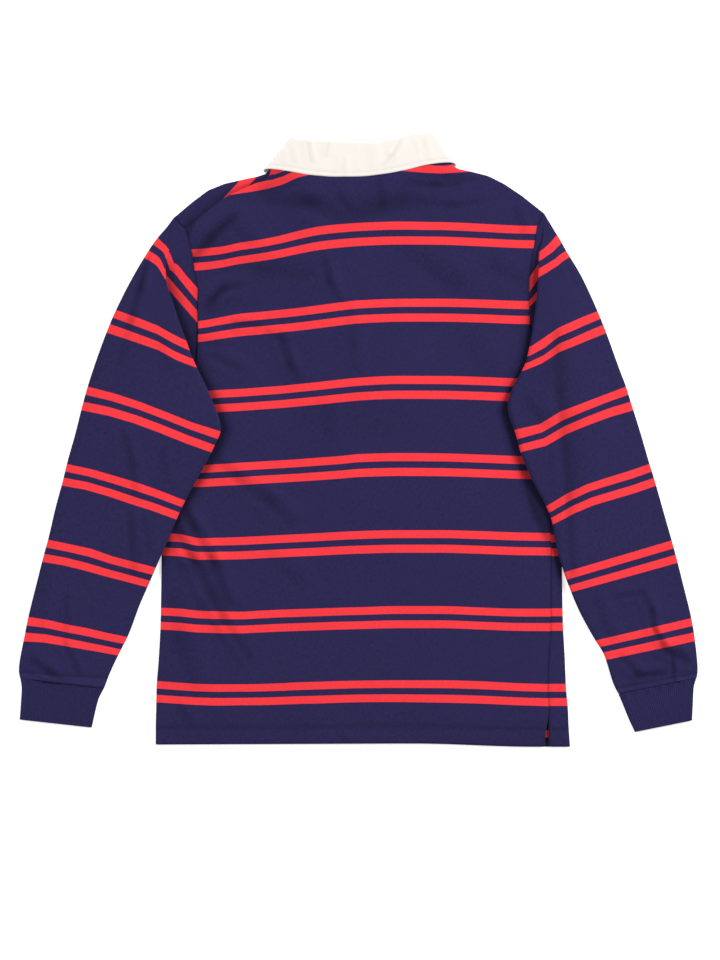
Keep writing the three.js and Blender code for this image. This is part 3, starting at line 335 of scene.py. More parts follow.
# A crease's section, in its own widths: where the ridges lie, how narrow ridges and painted shade are,
# and how much of a ridge's height stays and how much moves to the other ridge by its side
SECTION = {"ridge_at": 1.25, "ridge": 1.6, "shade": 2.2, "even": 0.75, "lean": 0.25}
BACK_FOLDS = table(FOLD_COLUMNS, [
    [-208, 225, -184, 252, 10, 2.2, 0, 0.9],
    [-182, 254, -170, 262, 9, 1.8, 0, 0.5],
    [-170, 268, -158, 276, 9, 1.8, 0, 0.7],
    [-188, 166, -180, 178, 9, 1.4, -1, 0.45],
    [-181, 176, -168, 189, 8, 2.0, -1, 0.55],
    [-168, 189, -150, 192, 8, 1.8, -1, 0.5],
    [-214, 252, -208, 270, 5, 0.8, 0, 0.7],
    [-150, 262, -136, 250, 12, 0.5, 0, 0.3],
    [-120, 212, -65, 205, 14, 0.8, 1, 0.2],
    [-106, 300, -58, 296, 13, 1.2, 1, 0.4],
    [-62, 296, -28, 278, 12, 1.2, 1, 0.35],
    [-22, 302, -11, 288, 7, 1.0, 0, 0.5],
    [2, 282, 52, 298, 16, 1.2, 1, 0.45],
    [26, 320, 30, 296, 8, 0.6, 0, 0.35],
    [-70, 298, 60, 296, 22, 0.2, 0, 0.22],
    [-160, 222, -110, 215, 30, 0.2, 0, 0.18],
    [-43, 224, -37, 198, 7, 1.4, 1, 0.4],
    [-38, 200, -27, 177, 7, 1.3, 1, 0.4],
    [-112, 133, -92, 124, 7, 1.2, 1, 0.3],
    [-97, 128, -86, 92, 7, 1.6, 1, 0.45],
    [-86, 95, -77, 76, 7, 1.2, 1, 0.35],
    [-152, 146, -126, 143, 6, 1.4, 0, 0.5],
    [-175, 102, -154, 91, 8, 1.4, 0, 0.4],
    [-196, 124, -175, 120, 9, 1.0, 0, 0.3],
    [-13, 160, -8, 125, 9, 0.8, 1, 0.15],
    [-8, 122, -5, 88, 8, 0.7, 1, 0.2],
    [-46, 42, -38, 8, 12, 0.8, 1, 0.15],
    [-219, -84, -206, -108, 7, 2.0, 0, 0.7],
    [-208, -104, -182, -152, 8, 2.4, 1, 0.6],
    [-184, -148, -163, -202, 8, 2.0, 1, 0.5],
    [-226, -116, -206, -150, 8, 2.2, -1, 0.7],
    [-208, -146, -182, -196, 10, 2.0, -1, 0.4],
    [-184, -192, -168, -224, 8, 1.6, -1, 0.35],
    [-170, -220, -138, -270, 7, 1.6, -1, 0.4],
    [-174, -27, -148, -50, 8, 1.4, 1, 0.3],
    [-150, -50, -112, -76, 11, 1.6, 1, 0.3],
    [-116, -74, -86, -102, 10, 1.3, 1, 0.25],
    [-108, -148, -76, -176, 12, 0.9, 1, 0.15],
    [-232, -200, -224, -250, 14, 1.0, 1, 0.2],
    [-226, -245, -206, -305, 14, 0.9, 1, 0.2],
    [-222, -335, -210, -356, 8, 0.8, 0, 0.3],
    [-24, -368, -13, -378, 5, 0.6, 0, 0.3],
    [62, 322, 98, 318, 6, 1.0, 0, 0.45],
    [94, 318, 128, 321, 6, 1.0, 0, 0.4],
    [80, 331, 112, 329, 5, 0.9, 0, 0.4],
    [108, 329, 146, 325, 5, 0.8, 0, 0.35],
    # Painted shade with no height: beside and under the collar's ends
    [-118, 315, -86, 326, 14, 0.0, 0, 0.5],
    [-112, 334, -100, 336, 8, 0.0, 0, 0.8],
    [82, 342, 106, 344, 5, 0.0, 0, 0.4],
    [78, 297, 122, 292, 7, 1.1, 1, 0.3],
    [116, 293, 152, 298, 7, 0.9, 1, 0.3],
    [66, 232, 118, 197, 17, 1.2, 1, 0.3],
    [172, 216, 198, 201, 13, 0.9, 1, 0.25],
    [196, 283, 206, 262, 8, 0.9, 1, 0.3],
    [135, 120, 160, 80, 18, 0.8, 1, 0.1],
    # Painted shadow beside the right sleeve, with little height
    [212, -50, 225, -88, 12, 0.3, 0, 1.2],
    [222, -86, 235, -114, 9, 0.3, 0, 1.2],
])
SLEEVE_FOLDS = table(FOLD_COLUMNS, [
    [-264, 224, -272, 190, 6, 1.2, 0, 0.7],
    [-272, 192, -284, 150, 8, 1.4, 1, 0.45],
    [-283, 152, -297, 98, 9, 1.2, 1, 0.25],
    [-248, 122, -238, 94, 9, 0.9, 1, 0.2],
    [-293, 6, -283, -30, 7, 1.5, 1, 0.35],
    [-284, -28, -279, -68, 7, 1.5, 1, 0.3],
    [-284, -96, -281, -162, 7, 1.4, 1, 0.35],
    [-268, -100, -262, -135, 7, 1.0, 0, 0.2],
    [-246, -18, -240, -48, 8, 0.9, 0, 0.2],
    [-364, -196, -366, -248, 5, 0.9, 1, 0.25],
    [-366, -256, -350, -288, 5, 1.2, 1, 0.45],
    [-405, -276, -384, -292, 7, 1.6, 0, 0.7],
    [-386, -290, -372, -298, 6, 1.2, 0, 0.5],
    [-392, -180, -398, -230, 10, 0.7, 0, 0.15],
    [246, 132, 250, 67, 9, 0.6, -1, 0.45],
    [251, 57, 257, -6, 9, 0.6, -1, 0.5],
    [258, -16, 262, -66, 9, 1.3, -1, 0.5],
    [262, -77, 267, -165, 8, 1.4, -1, 0.4],
    [258, 124, 262, 30, 16, 0.15, 0, 0.2],
    [268, 20, 274, -70, 16, 0.3, 0, 0.22],
    [244, 106, 236, 76, 12, 0.3, 0, 0.12],
    [256, 236, 268, 200, 6, 1.0, 0, 0.25],
    [214, 44, 230, 24, 12, 0.7, 0, 0.4],
    [297, -202, 314, -246, 9, 1.0, 0, 0.25],
    [324, -196, 354, -191, 6, 1.0, 0, 0.35],
    [356, -193, 366, -214, 6, 1.2, 1, 0.4],
    [365, -212, 370, -238, 6, 1.4, 1, 0.5],
    [369, -235, 384, -262, 5, 1.8, 1, 0.8],
    [382, -260, 412, -275, 8, 2.0, 0, 0.9],
    [392, -270, 394, -300, 4, 1.4, 0, 0.8],
    [330, -272, 350, -293, 6, 1.2, 0, 0.5],
    [348, -294, 378, -291, 6, 1.6, 0, 0.9],
])
COLLAR_FOLDS = table(FOLD_COLUMNS, [
    [-64, 374, -60, 350, 4, 0.9, 1, 0.3],
    [-37, 372, -41, 358, 3, 0.6, 1, 0.2],
    [52, 372, 43, 356, 4, 1.0, -1, 0.35],
    [43, 356, 33, 344, 4, 0.8, -1, 0.25],
    [-86, 366, -83, 350, 5, 0.6, 0, 0.1],
    [-19, 350, -20, 331, 4, 0.6, 1, 0.15],
    [10, 366, 14, 340, 8, 0.5, 1, 0.1],
    [80, 372, 84, 352, 5, 0.6, 0, 0.1],
])
# The hem: how far up it is stitched, its thicker band, and the width and darkness of the painted shade
# along its stitches
HEM = {"up": 22.0, "puff": 0.45, "ramp": 5.0, "furrow": 4.0, "shade": 0.3}
# The back's own softness: a low crown in from its outline, where creases and waves start, and
# how deep they may dip
SOFT_BACK = {"crown": 1.3, "crown_ramp": 55.0, "edge_ramp": 12.0, "edge_share": 0.25, "deepest": 0.25}
LEFT_OUTLINE = table("y x", [[HEM_Y, -253], [32, -245], [277, -205]])
RIGHT_OUTLINE = table("y x", [[HEM_Y, 262], [39, 252], [284, 215]])
# The painted shadow on the back beside the sleeves, and the sleeve rows between which it lies
BESIDE_SLEEVE = {"shade": 1.15, "reach": 11.0, "low_ramp": 20.0, "high_ramp": 30.0}
SHADE_ROWS = [3, 17]
# The collar's topstitching: how far in from its edge, its furrow's width and depth, and the painted
# shade in the furrow
COLLAR_STITCH = {"in": 7.0, "furrow": 1.2, "deep": 0.25, "shade": 0.35}
# Sewing: how far apart and how long stitches are, half a thread's thickness, in how many places
# the line is read, and how far above the cuff the sleeve's line lies
HEM_SEWING = {"pitch": 3.2, "length": 2.4, "radius": 0.28, "places": 900}
SLEEVE_SEWING = {"pitch": 3.0, "length": 2.2, "radius": 0.26, "places": 700, "above_cuff": 6.5}
COLLAR_SEWING = {"pitch": 2.8, "length": 2.1, "radius": 0.26, "places": 900}
LOWEST_THREAD = 0.3
# Slow waves of cloth that lies on cloth: wave vectors, phases and heights
WAVES = table("x y phase height", [
    [0.021, 0.009, 0.4, 0.22],
    [-0.012, 0.027, 1.9, 0.20],
    [0.034, -0.022, 3.1, 0.12],
    [0.047, 0.041, 5.2, 0.07],
    [-0.062, 0.036, 2.2, 0.05],
])


# Shape helpers
def smooth(value):
    """3t^2 - 2t^3 of the value held between 0 and 1."""
    t = np.clip(value, 0, 1)
    return t * t * (3 - 2 * t)


def lerp(a, b, t):
    """The way from a to b, at a share of it."""
    return a + (b - a) * t


def slopes(knots, values):
    """Slope at each knot: the weighted harmonic mean of the chords beside it, and 0 where
    they point opposite ways, so that the curve never passes its knots' range."""
    step = np.diff(knots).reshape((-1,) + (1,) * (values.ndim - 1))
    chord = np.diff(values, axis=0) / step
    before, after = chord[:-1], chord[1:]
    same = before * after > 0
    w1 = 2 * step[1:] + step[:-1]
    w2 = step[1:] + 2 * step[:-1]
    safe_before = np.where(same, before, 1)
    safe_after = np.where(same, after, 1)
    result = np.empty_like(values)
    result[1:-1] = np.where(same, (w1 + w2) / (w1 / safe_before + w2 / safe_after), 0)
    result[0], result[-1] = chord[0], chord[-1]
    return result


def resample(knots, values, at):
    """A monotone cubic through the values' rows, read at the given places: on each span the
    Hermite polynomial of its two values and two slopes."""
    values = np.asarray(values, float)
    knots = np.asarray(knots, float)
    slope = slopes(knots, values)
    span = np.clip(np.searchsorted(knots, at, side="right") - 1, 0, len(knots) - 2)
    width = knots[span + 1] - knots[span]
    shape = (-1,) + (1,) * (values.ndim - 1)
    t = ((at - knots[span]) / width).reshape(shape)
    width = width.reshape(shape)
    low, high = values[span], values[span + 1]
    t2, t3 = t * t, t * t * t
    return (low * (2 * t3 - 3 * t2 + 1) + high * (3 * t2 - 2 * t3)
            + width * (slope[span] * (t3 - 2 * t2 + t) + slope[span + 1] * (t3 - t2)))


SHORTEST_SPAN = 0.05


def refined(grid, spacing, knots=None, least=2):
    """The grid's rows made denser: each span between rows gets steps of about the spacing.
    Returns the new grid and where each old row went."""
    lengths = np.linalg.norm(np.diff(grid[..., :3], axis=0), axis=2).mean(axis=1)
    lengths = np.maximum(lengths, SHORTEST_SPAN)
    if knots is None:
        knots = np.concatenate([[0], np.cumsum(lengths)])
    counts = np.maximum(least, np.ceil(lengths / spacing).astype(int))
    at = np.concatenate([
        np.linspace(knots[i], knots[i + 1], count, endpoint=False) for i, count in enumerate(counts)
    ] + [[knots[-1]]])
    return resample(knots, grid, at), np.concatenate([[0], np.cumsum(counts)])


def refined_both(grid, spacing, knots=None):
    """The grid made denser along its rows and along its columns. Returns the new grid and where
    each old column went."""
    dense = refined(grid, spacing["rows"], knots, 1)[0]
    turned, column_places = refined(dense.transpose(1, 0, 2), spacing["columns"], None, 1)
    return turned.transpose(1, 0, 2), column_places


def run_along(points, axis):
    """How far each row or column lies along the surface from the first: the running sum of the
    mean steps, in the shape of the whole grid."""
    steps = np.linalg.norm(np.diff(points, axis=axis), axis=2).mean(axis=1 - axis)
    run = np.concatenate([[0], np.cumsum(steps)])
    return (run[:, None] if axis == 0 else run[None, :]) + np.zeros(points.shape[:2])


def folds_at(folds, x, y):
    """The sum of creases, as a height and a painted shade from 0 to 1: two soft ridges beside each
    furrow's line, and shade painted along the line itself, fading out at its ends."""
    total, deep = np.zeros_like(x), np.zeros_like(x)
    for fx, fy, tx, ty, width, height, side, shade in zip(*folds.values()):
        dx, dy = tx - fx, ty - fy
        length = np.hypot(dx, dy)
        share = ((x - fx) * dx + (y - fy) * dy) / length ** 2
        past = (share - np.clip(share, 0, 1)) * length
        away = ((y - fy) * dx - (x - fx) * dy) / length
        along = np.exp(-(past / width) ** 2)
        left = np.exp(-SECTION["ridge"] * (away / width - SECTION["ridge_at"]) ** 2)
        right = np.exp(-SECTION["ridge"] * (away / width + SECTION["ridge_at"]) ** 2)
        left *= SECTION["even"] + SECTION["lean"] * side
        right *= SECTION["even"] - SECTION["lean"] * side
        total += height * along * (left + right)
        deep += shade * along * np.exp(-SECTION["shade"] * (away / width) ** 2)
    return total, np.minimum(deep, 1)


def waves_at(x, y):
    """The sum of slow sine waves over the plan."""
    total = np.zeros_like(x)
    for kx, ky, phase, height in zip(*WAVES.values()):
        total += height * np.sin(kx * x + ky * y + phase)
    return total


def normals(points):
    """The direction across the columns crossed with the direction along the rows."""
    across = np.gradient(points, axis=1)
    along = np.gradient(points, axis=0)
    normal = np.cross(across, along)
    return normal / np.maximum(np.linalg.norm(normal, axis=2, keepdims=True), 1e-9)


# Body panels
def sag_share(x):
    """How much of the sag towards the left edge a place across the body has."""
    return np.clip((SAG["start_x"] - x) / SAG["run_x"], 0, SAG["most"])


def right_sag(x):
    """How far courses sag towards the right edge."""
    return RIGHT_SAG["depth"] * smooth((x - RIGHT_SAG["start_x"]) / RIGHT_SAG["run_x"])


def course_y(height, x):
    """Where a course of the body lies in the plan: lower towards the left edge."""
    left_sag = (SAG["at_hem"] + SAG["per_height"] * height) * sag_share(x)
    return HEM_Y + height - left_sag - right_sag(x)


def course_height(x, y):
    """The course at a place in the plan, the other way about."""
    level = y - HEM_Y + SAG["at_hem"] * sag_share(x) + right_sag(x)
    return level / (1 - SAG["per_height"] * sag_share(x))


def between_rows(knots, columns, at):
    """Straight interpolation in each vertex's own column of values."""
    span = np.clip(np.searchsorted(knots, at) - 1, 0, len(knots) - 2)
    share = np.clip((at - knots[span]) / (knots[span + 1] - knots[span]), 0, 1)
    index = np.arange(len(at))
    return lerp(columns[index, span], columns[index, span + 1], share)


def cloth_height(x, y):
    """Height up the striped cloth at a place in the plan: the course is found from the sag at
    its own height, then the courses are spread as evenly as they were knitted."""
    shape = x.shape
    x, y = x.ravel(), y.ravel()
    sags = resample(SAG_X, SAGS.T, np.clip(x, SAG_X[0], SAG_X[-1])) * SAG_STEP
    height = y - HEM_Y
    for _ in range(SAG_PASSES):
        height = y - HEM_Y + between_rows(SAG_HEIGHTS, sags, height)
    return np.interp(height, STRIPE_COURSES, STRIPE_CLOTH).reshape(shape)


def bow_at(name, course, share):
    """How far a sleeve's course bows at a share of the way from the outer to the inner fold."""
    shape = course.shape
    rows = BOWS[name]
    values = np.stack([rows[key] for key in rows if key != "course"], axis=1)
    across = resample(rows["course"], values, course.ravel())
    return (between_rows(BOW_SHARES, across, share.ravel()) * SAG_STEP).reshape(shape)


def neck_lift(x, y):
    """A low mound over the collar's front leaves."""
    reach = np.hypot((x - NECK_MOUND["x"]) / NECK_MOUND["half_x"],
                     (y - NECK_MOUND["y"]) / NECK_MOUND["half_y"])
    return NECK_LIFT * (1 - smooth((reach - 1) / NECK_MOUND["ramp"]))


def placket_lift(x, y, over):
    """A low mound over the placket, flat on top and smooth to all sides."""
    across = np.maximum(0, np.abs(x) - PLACKET["width"] / 2 - over["flat"])
    along = np.maximum(0, np.maximum(PLACKET["bottom"] - over["flat"] - y,
                                     y - PLACKET["top"] - PLACKET_MOUND["above"]))
    return over["lift"] * (1 - smooth(np.hypot(across, along) / PLACKET_MOUND["ramp"]))


def past_fold(run):
    """How far in from the outline cloth lies after a run past a fold's start, and how far it
    has turned to the other layer."""
    angle = np.clip(run, 0, FOLD_LENGTH) / FOLD_RADIUS
    inset = FOLD_INSET - FOLD_RADIUS * np.sin(angle)
    inset = np.where(run < 0, FOLD_INSET - run, inset)
    inset = np.where(run > FOLD_LENGTH, FOLD_INSET + run - FOLD_LENGTH, inset)
    return inset, (1 - np.cos(angle)) / 2


# Columns of a panel: the strip past the fold, the fold, then the left, neck and right parts,
# and the shares of the way across at which the neck points lie
STRIP_COLUMNS = 7
TURN_COLUMNS = 6
OPEN_STEP = 1.6
LEAST_STRIP = 1.0
LEFT_COLUMNS, NECK_COLUMNS, RIGHT_COLUMNS = 34, 84, 36
LEFT_SHARE, RIGHT_SHARE = 0.215, 0.23


def edge_runs(reach):
    """Runs past the fold for the columns beside a cut edge, from the edge inwards: the strip
    that lies past the fold, then the fold, or an even spread where there is no strip."""
    count = STRIP_COLUMNS + TURN_COLUMNS
    index = np.arange(count + 1)[None, :]
    reach = reach[:, None]
    in_strip = reach + (FOLD_LENGTH - reach) * index / STRIP_COLUMNS
    in_turn = FOLD_LENGTH * (count - index) / TURN_COLUMNS
    wrapped = np.where(index < STRIP_COLUMNS, in_strip, in_turn)
    part = reach * (1 - index / count)
    open_edge = reach - index * OPEN_STEP
    return np.where(reach > FOLD_LENGTH + LEAST_STRIP, wrapped, np.where(reach > 0, part, open_edge))


def inner_shares():
    """Shares of the way between the two groups of edge columns, with one at each neck point."""
    left = np.linspace(0, LEFT_SHARE, LEFT_COLUMNS + 1)[1:]
    neck = np.linspace(LEFT_SHARE, 1 - RIGHT_SHARE, NECK_COLUMNS + 1)[1:]
    right = np.linspace(1 - RIGHT_SHARE, 1, RIGHT_COLUMNS + 1)[1:-1]
    return np.concatenate([left, neck, right])


def lower_rows(is_front):
    """The rows of a panel from the hem to the shoulder: place, level and unfolded place."""
    level, other = (FRONT_LEVEL, BACK_LEVEL) if is_front else (BACK_LEVEL, FRONT_LEVEL)
    wrap_left = FOLD_LENGTH + BODY_ROWS["seam_left"] - FOLD_INSET - SEAM_GAP / 2
    wrap_right = FOLD_LENGTH + BODY_ROWS["seam_right"] - FOLD_INSET - SEAM_GAP / 2
    open_left = FOLD_INSET - BODY_ROWS["seam_left"] - SEAM_GAP / 2
    open_right = FOLD_INSET - BODY_ROWS["seam_right"] - SEAM_GAP / 2 - BODY_ROWS["vent"]
    holes = {name: column.copy() for name, column in ARMHOLES.items()}
    for side in ("right",) if is_front else ("left",):
        for axis in ("_x", "_y"):
            column = holes[side + axis]
            column[-1] = lerp(column[-2], column[-1], SHORTER_TOP)
    count = len(holes["dip"])
    hole_reach = np.full(count, -FOLD_INSET)
    hole_reach[0] = FOLD_LENGTH / 2 - TIP_GAP
    hole_cut = np.full(count, 2 * FOLD_INSET - SEAM_GAP / 2)
    hole_cut[0] = 0
    reach_left = np.concatenate([open_left if is_front else wrap_left, hole_reach])
    reach_right = np.concatenate([wrap_right if is_front else open_right, hole_reach])
    cut = np.concatenate([np.zeros(len(open_left)), hole_cut])[:, None]
    left = np.concatenate([BODY_ROWS["left"], holes["left_x"]])[:, None]
    right = np.concatenate([BODY_ROWS["right"], holes["right_x"]])[:, None]
    left_height = np.concatenate([BODY_ROWS["height"], course_height(holes["left_x"], holes["left_y"])])
    right_height = np.concatenate([BODY_ROWS["height"], course_height(holes["right_x"], holes["right_y"])])
    dip = np.concatenate([np.zeros(len(open_left)), holes["dip"] if is_front else 0 * holes["dip"]])

    runs_left = edge_runs(reach_left)
    runs_right = edge_runs(reach_right)[:, ::-1]
    inset_left, over_left = past_fold(runs_left)
    inset_right, over_right = past_fold(runs_right)
    x_left, x_right = left + inset_left - cut, right - inset_right + cut
    shares = inner_shares()[None, :]
    x_inner = lerp(x_left[:, -1:], x_right[:, :1], shares)
    x = np.concatenate([x_left, x_inner, x_right], axis=1)
    flat_x = np.concatenate([
        left + FOLD_INSET - runs_left - cut, x_inner, right - FOLD_INSET + runs_right + cut], axis=1)
    over = np.concatenate([over_left, 0 * x_inner, over_right], axis=1)
    share = np.clip((x - left) / (right - left), 0, 1)
    height = lerp(left_height[:, None], right_height[:, None], share)
    fall = dip[:, None] * smooth(1 - (np.abs(x) - NECK_DIP["flat"]) / NECK_DIP["ramp"])
    y = course_y(height, x) - fall
    return np.stack([x, y, lerp(level, other, over), flat_x, y], axis=2), level, other


# Rows over the shoulder, and the least strip and wrap past its fold that count as one
FLAT_ROWS, FOLD_ROWS = 3, 4
LEAST_SHOULDER = {"strip": 0.5, "wrap": 0.6}
# How far the rows of an unfolded column have come, so that they keep level with a folded one
ROW_SHARES = [0.31, 0.62, 0.93, 0.945, 0.96, 0.975, 0.99, 1.0]


def shoulder_rows(start, is_front, level, other):
    """The rows over the shoulders and up to the neckline: columns that run over the
    outline's fold bend there and end at the seam beyond it, and the rest end at their edge."""
    columns = start.shape[0]
    left_neck = STRIP_COLUMNS + TURN_COLUMNS + LEFT_COLUMNS
    right_neck = left_neck + NECK_COLUMNS
    index = np.arange(columns)
    begin = start[:, :2]
    share_left = (begin[:, 0] - begin[0, 0]) / (begin[left_neck, 0] - begin[0, 0])
    share_right = (begin[:, 0] - begin[-1, 0]) / (begin[right_neck, 0] - begin[-1, 0])

    def along(shoulder, share):
        """The fold's and the seam's places at shares of the way along a shoulder."""
        place = np.clip(share, 0, 1) * (len(shoulder["fold_x"]) - 1)
        steps = np.arange(len(shoulder["fold_x"]))
        read = [np.interp(place, steps, column) for column in shoulder.values()]
        return np.stack(read[:2], axis=1), np.stack(read[2:], axis=1)

    fold_l, seam_l = along(LEFT_SHOULDER, share_left)
    fold_r, seam_r = along(RIGHT_SHOULDER, share_right)
    on_left = (index <= left_neck)[:, None]
    on_neck = ((index > left_neck) & (index < right_neck))[:, None]
    fold = np.where(on_left, fold_l, fold_r)
    seam = np.where(on_left, seam_l, seam_r)
    strip = np.linalg.norm(seam - fold, axis=1)[:, None]
    neck_in = np.where(on_left, NECK_WAY_IN, NECK_WAY_IN * [-1, 1])
    least = LEAST_SHOULDER["strip"]
    inward = np.where(strip > least, (seam - fold) / np.maximum(strip, least), neck_in)
    inward /= np.linalg.norm(inward, axis=1, keepdims=True)
    reach = np.maximum(FOLD_LENGTH + strip - FOLD_INSET - SEAM_GAP / 2, FOLD_LENGTH / 2 - SEAM_GAP)
    is_point = ((index == left_neck) | (index == right_neck))[:, None]
    folds = ~on_neck & ((on_left == is_front) | is_point)
    q = (index - left_neck) / (right_neck - left_neck) * (len(NECKLINES["x"]) - 1)
    steps = np.arange(len(NECKLINES["x"]))
    line = "front" if is_front else "back"
    neck = np.stack([np.interp(q, steps, NECKLINES["x"]), np.interp(q, steps, NECKLINES[line])], axis=1)
    edge = np.where(on_neck, neck, seam + inward * SEAM_GAP / 2)
    count = FLAT_ROWS + FOLD_ROWS + 1
    rows = []
    for row in range(1, count + 1):
        flat_at = lerp(begin, edge, ROW_SHARES[row - 1])
        turn = max(row - FLAT_ROWS, 0)
        long_run = reach if turn > FOLD_ROWS else np.full_like(reach, FOLD_LENGTH * turn / FOLD_ROWS)
        is_long = reach > FOLD_LENGTH + LEAST_SHOULDER["wrap"]
        run = np.where(is_long, long_run, reach * turn / (FOLD_ROWS + 1))
        inset, over = past_fold(run)
        fold_at = fold + inward * inset
        unfolded = fold + inward * (FOLD_INSET - run)
        if row <= FLAT_ROWS:
            fold_at = lerp(begin, fold + inward * FOLD_INSET, row / FLAT_ROWS)
            unfolded, over = fold_at, 0 * over
        place = np.where(folds, fold_at, flat_at)
        flat = np.where(folds, unfolded, flat_at)
        height = np.where(folds, lerp(level, other, over), level)
        rows.append(np.concatenate([place, height, flat], axis=1))
    return np.stack(rows)


def painted_sleeve_shadow(x, y):
    """How much shadow is painted on the back's cloth beside a sleeve that lies on it, by the distance
    from the sleeve's inner fold."""
    shade = np.zeros_like(x)
    first, last = SHADE_ROWS
    for rows, side in ((LEFT_SLEEVE, 1), (RIGHT_SLEEVE, -1)):
        order = slice(last, first, -1)
        inner = np.interp(y, rows["in_y"][order], rows["in_x"][order])
        ends = (smooth((y - rows["in_y"][last]) / BESIDE_SLEEVE["low_ramp"])
                * smooth((rows["in_y"][first] - y) / BESIDE_SLEEVE["high_ramp"]))
        away = np.maximum((x - inner) * side, 0)
        shade += BESIDE_SLEEVE["shade"] * ends * np.exp(-(away / BESIDE_SLEEVE["reach"]) ** 2)
    return shade


# How far apart the dense grid's rows lie at most, in millimetres
BODY_SPACING = 3.3


def body_panel(is_front):
    """One panel as a dense grid: places in space, cloth coordinates, and where each row of the
    tables went. Height is the layer's own plus mounds, creases, waves, crown and hem band."""
    lower, level, other = lower_rows(is_front)
    grid = np.concatenate([lower, shoulder_rows(lower[-1], is_front, level, other)])
    dense, places = refined(grid, BODY_SPACING)
    x, y, height, flat_x, flat_y = np.moveaxis(dense, 2, 0)
    share = np.clip((height - FRONT_LEVEL) / LAYER, 0, 1)
    front_lift = np.maximum(neck_lift(x, y), placket_lift(x, y, FRONT_OVER_BUTTONS))
    edge = np.minimum.reduce([
        x - np.interp(y, LEFT_OUTLINE["y"], LEFT_OUTLINE["x"]),
        np.interp(y, RIGHT_OUTLINE["y"], RIGHT_OUTLINE["x"]) - x, y - HEM_Y])
    back_lift = np.maximum(neck_lift(x, y), placket_lift(x, y, BACK_OVER_PLACKET))
    ridges, deep = folds_at(BACK_FOLDS, x, y)
    soft = ridges + waves_at(x, y) + SOFT_BACK["crown"] * smooth(edge / SOFT_BACK["crown_ramp"])
    soft = np.maximum(soft, -SOFT_BACK["deepest"])
    back_lift = back_lift + soft * smooth(edge / SOFT_BACK["edge_ramp"] + SOFT_BACK["edge_share"])
    to_hem = y - course_y(HEM["up"], x)
    band = HEM["puff"] * smooth(-to_hem / HEM["ramp"]) * smooth((to_hem + HEM["up"]) / HEM["ramp"])
    back_lift = back_lift + band
    # Painted shade along the hem's stitching, added to the creases' painted shade and the sleeves' painted
    # shadows
    stitched = np.exp(-(to_hem / HEM["furrow"]) ** 2)
    deep = np.maximum(deep, HEM["shade"] * stitched) + painted_sleeve_shadow(x, y)
    z = height + lerp(front_lift, back_lift, share)
    up_cloth = cloth_height(flat_x, flat_y)
    if is_front:
        by = FRONT_AT_SHOULDER
        on_plane = by["base"] + by["per_x"] * x + by["per_y"] * y
        at_shoulder = smooth((y - by["from_y"]) / by["ramp"]) * smooth(share * 2) * (x < 0)
        shift = np.interp(y, SEAM_SHIFTS["y"], SEAM_SHIFTS["shift"])
        at_seam = smooth((x - SEAM_SHIFT_START["x"]) / SEAM_SHIFT_START["ramp"])
        up_cloth = lerp(up_cloth, on_plane, at_shoulder) + shift * at_seam
    # Painted shade in the furrows of the seams, along the panel's side edges and its top rows
    from_top, column = np.arange(x.shape[0])[::-1], np.arange(x.shape[1])
    at_side = np.exp(-(np.minimum(column, column[::-1]) / SEAM_SPREAD["side"]) ** 2)[None, :]
    at_top = np.exp(-(from_top / SEAM_SPREAD["top"]) ** 2)[:, None]
    shade = deep * smooth(share * 2 - 1) + SEAM_SHADE * np.maximum(at_side, at_top)
    cloth = np.stack([flat_x, up_cloth, np.minimum(shade, 1)], axis=2)
    return np.stack([x, y, z], axis=2), cloth, places


# Sleeves and cuffs
CLOTH = 1.5
OUTER_FOLD, WIDEST_FOLD = 1.0, 3.0
PUFF = {"height": 0.4, "rows": 3.0}
# Where the first section leaves the armhole, at the shoulder's tip
TIP_WAY = (0.8, -0.6)
# Round the hidden turn, the inner fold and the drop off the body's edge: how far out each place
# lies and, for the drop, how high; and the least rise for which a turn is round
TUCK_SHIFTS = np.array([-1.5, -0.5, 0.5, 1.5])
INNER_SHIFTS = np.array([-3, -1.5, 0, 1.5, 3])
DROP_SHIFTS = np.array([4.9, 4.5, 2.4, 0])
DROP_Z = np.array([1.2, 1.9, 3.6, 4.5])
DROP_SHARE = 0.8
ROUND_FROM = {"tuck": 1.5, "inner": 0.8}
UNDERARM = {"low": 2.8, "next": 3.1, "end": 2.2}
# Steps of a section's straight ways, and its columns: the seam, the hidden turn, the inner
# fold's middle and top, and the top of the outer fold
WAYS = {"hidden": 2, "upper": 7, "under": 5}
SEAM_COLUMN, TUCK_COLUMN, INNER_MIDDLE, INNER_TOP, OUTER_TOP = 0, 4, 9, 11, 18
SLEEVE_SPACING = {"rows": 3.2, "columns": 2.6}
SLEEVE_WAVES = {"share": 1.5, "shift_x": 300.0}


def bend(centre, middle, direction, angles, reach, rise):
    """Half ellipses standing in the plan's directions: centre plus reach times the cosine
    along the direction, middle height plus rise times the sine."""
    out = centre[:, None, :] + direction[:, None, :] * (reach[:, None] * np.cos(angles))[..., None]
    z = middle[:, None] + rise[:, None] * np.sin(angles)
    return np.concatenate([out, z[..., None]], axis=2)


def shifted(start, direction, shifts, z):
    """Places in the plan moved along a direction, at given heights."""
    out = start[:, None, :] + direction[:, None, :] * shifts[None, :, None]
    z = np.broadcast_to(z, out.shape[:2])
    return np.concatenate([out, z[..., None]], axis=2)


def between(start, end, steps):
    """The inner points of the straight way from start to end."""
    share = np.arange(1, steps)[None, :, None] / steps
    return lerp(start[:, None, :], end[:, None, :], share)


UP_OVER = np.linspace(-np.pi / 2, np.pi / 2, 5)


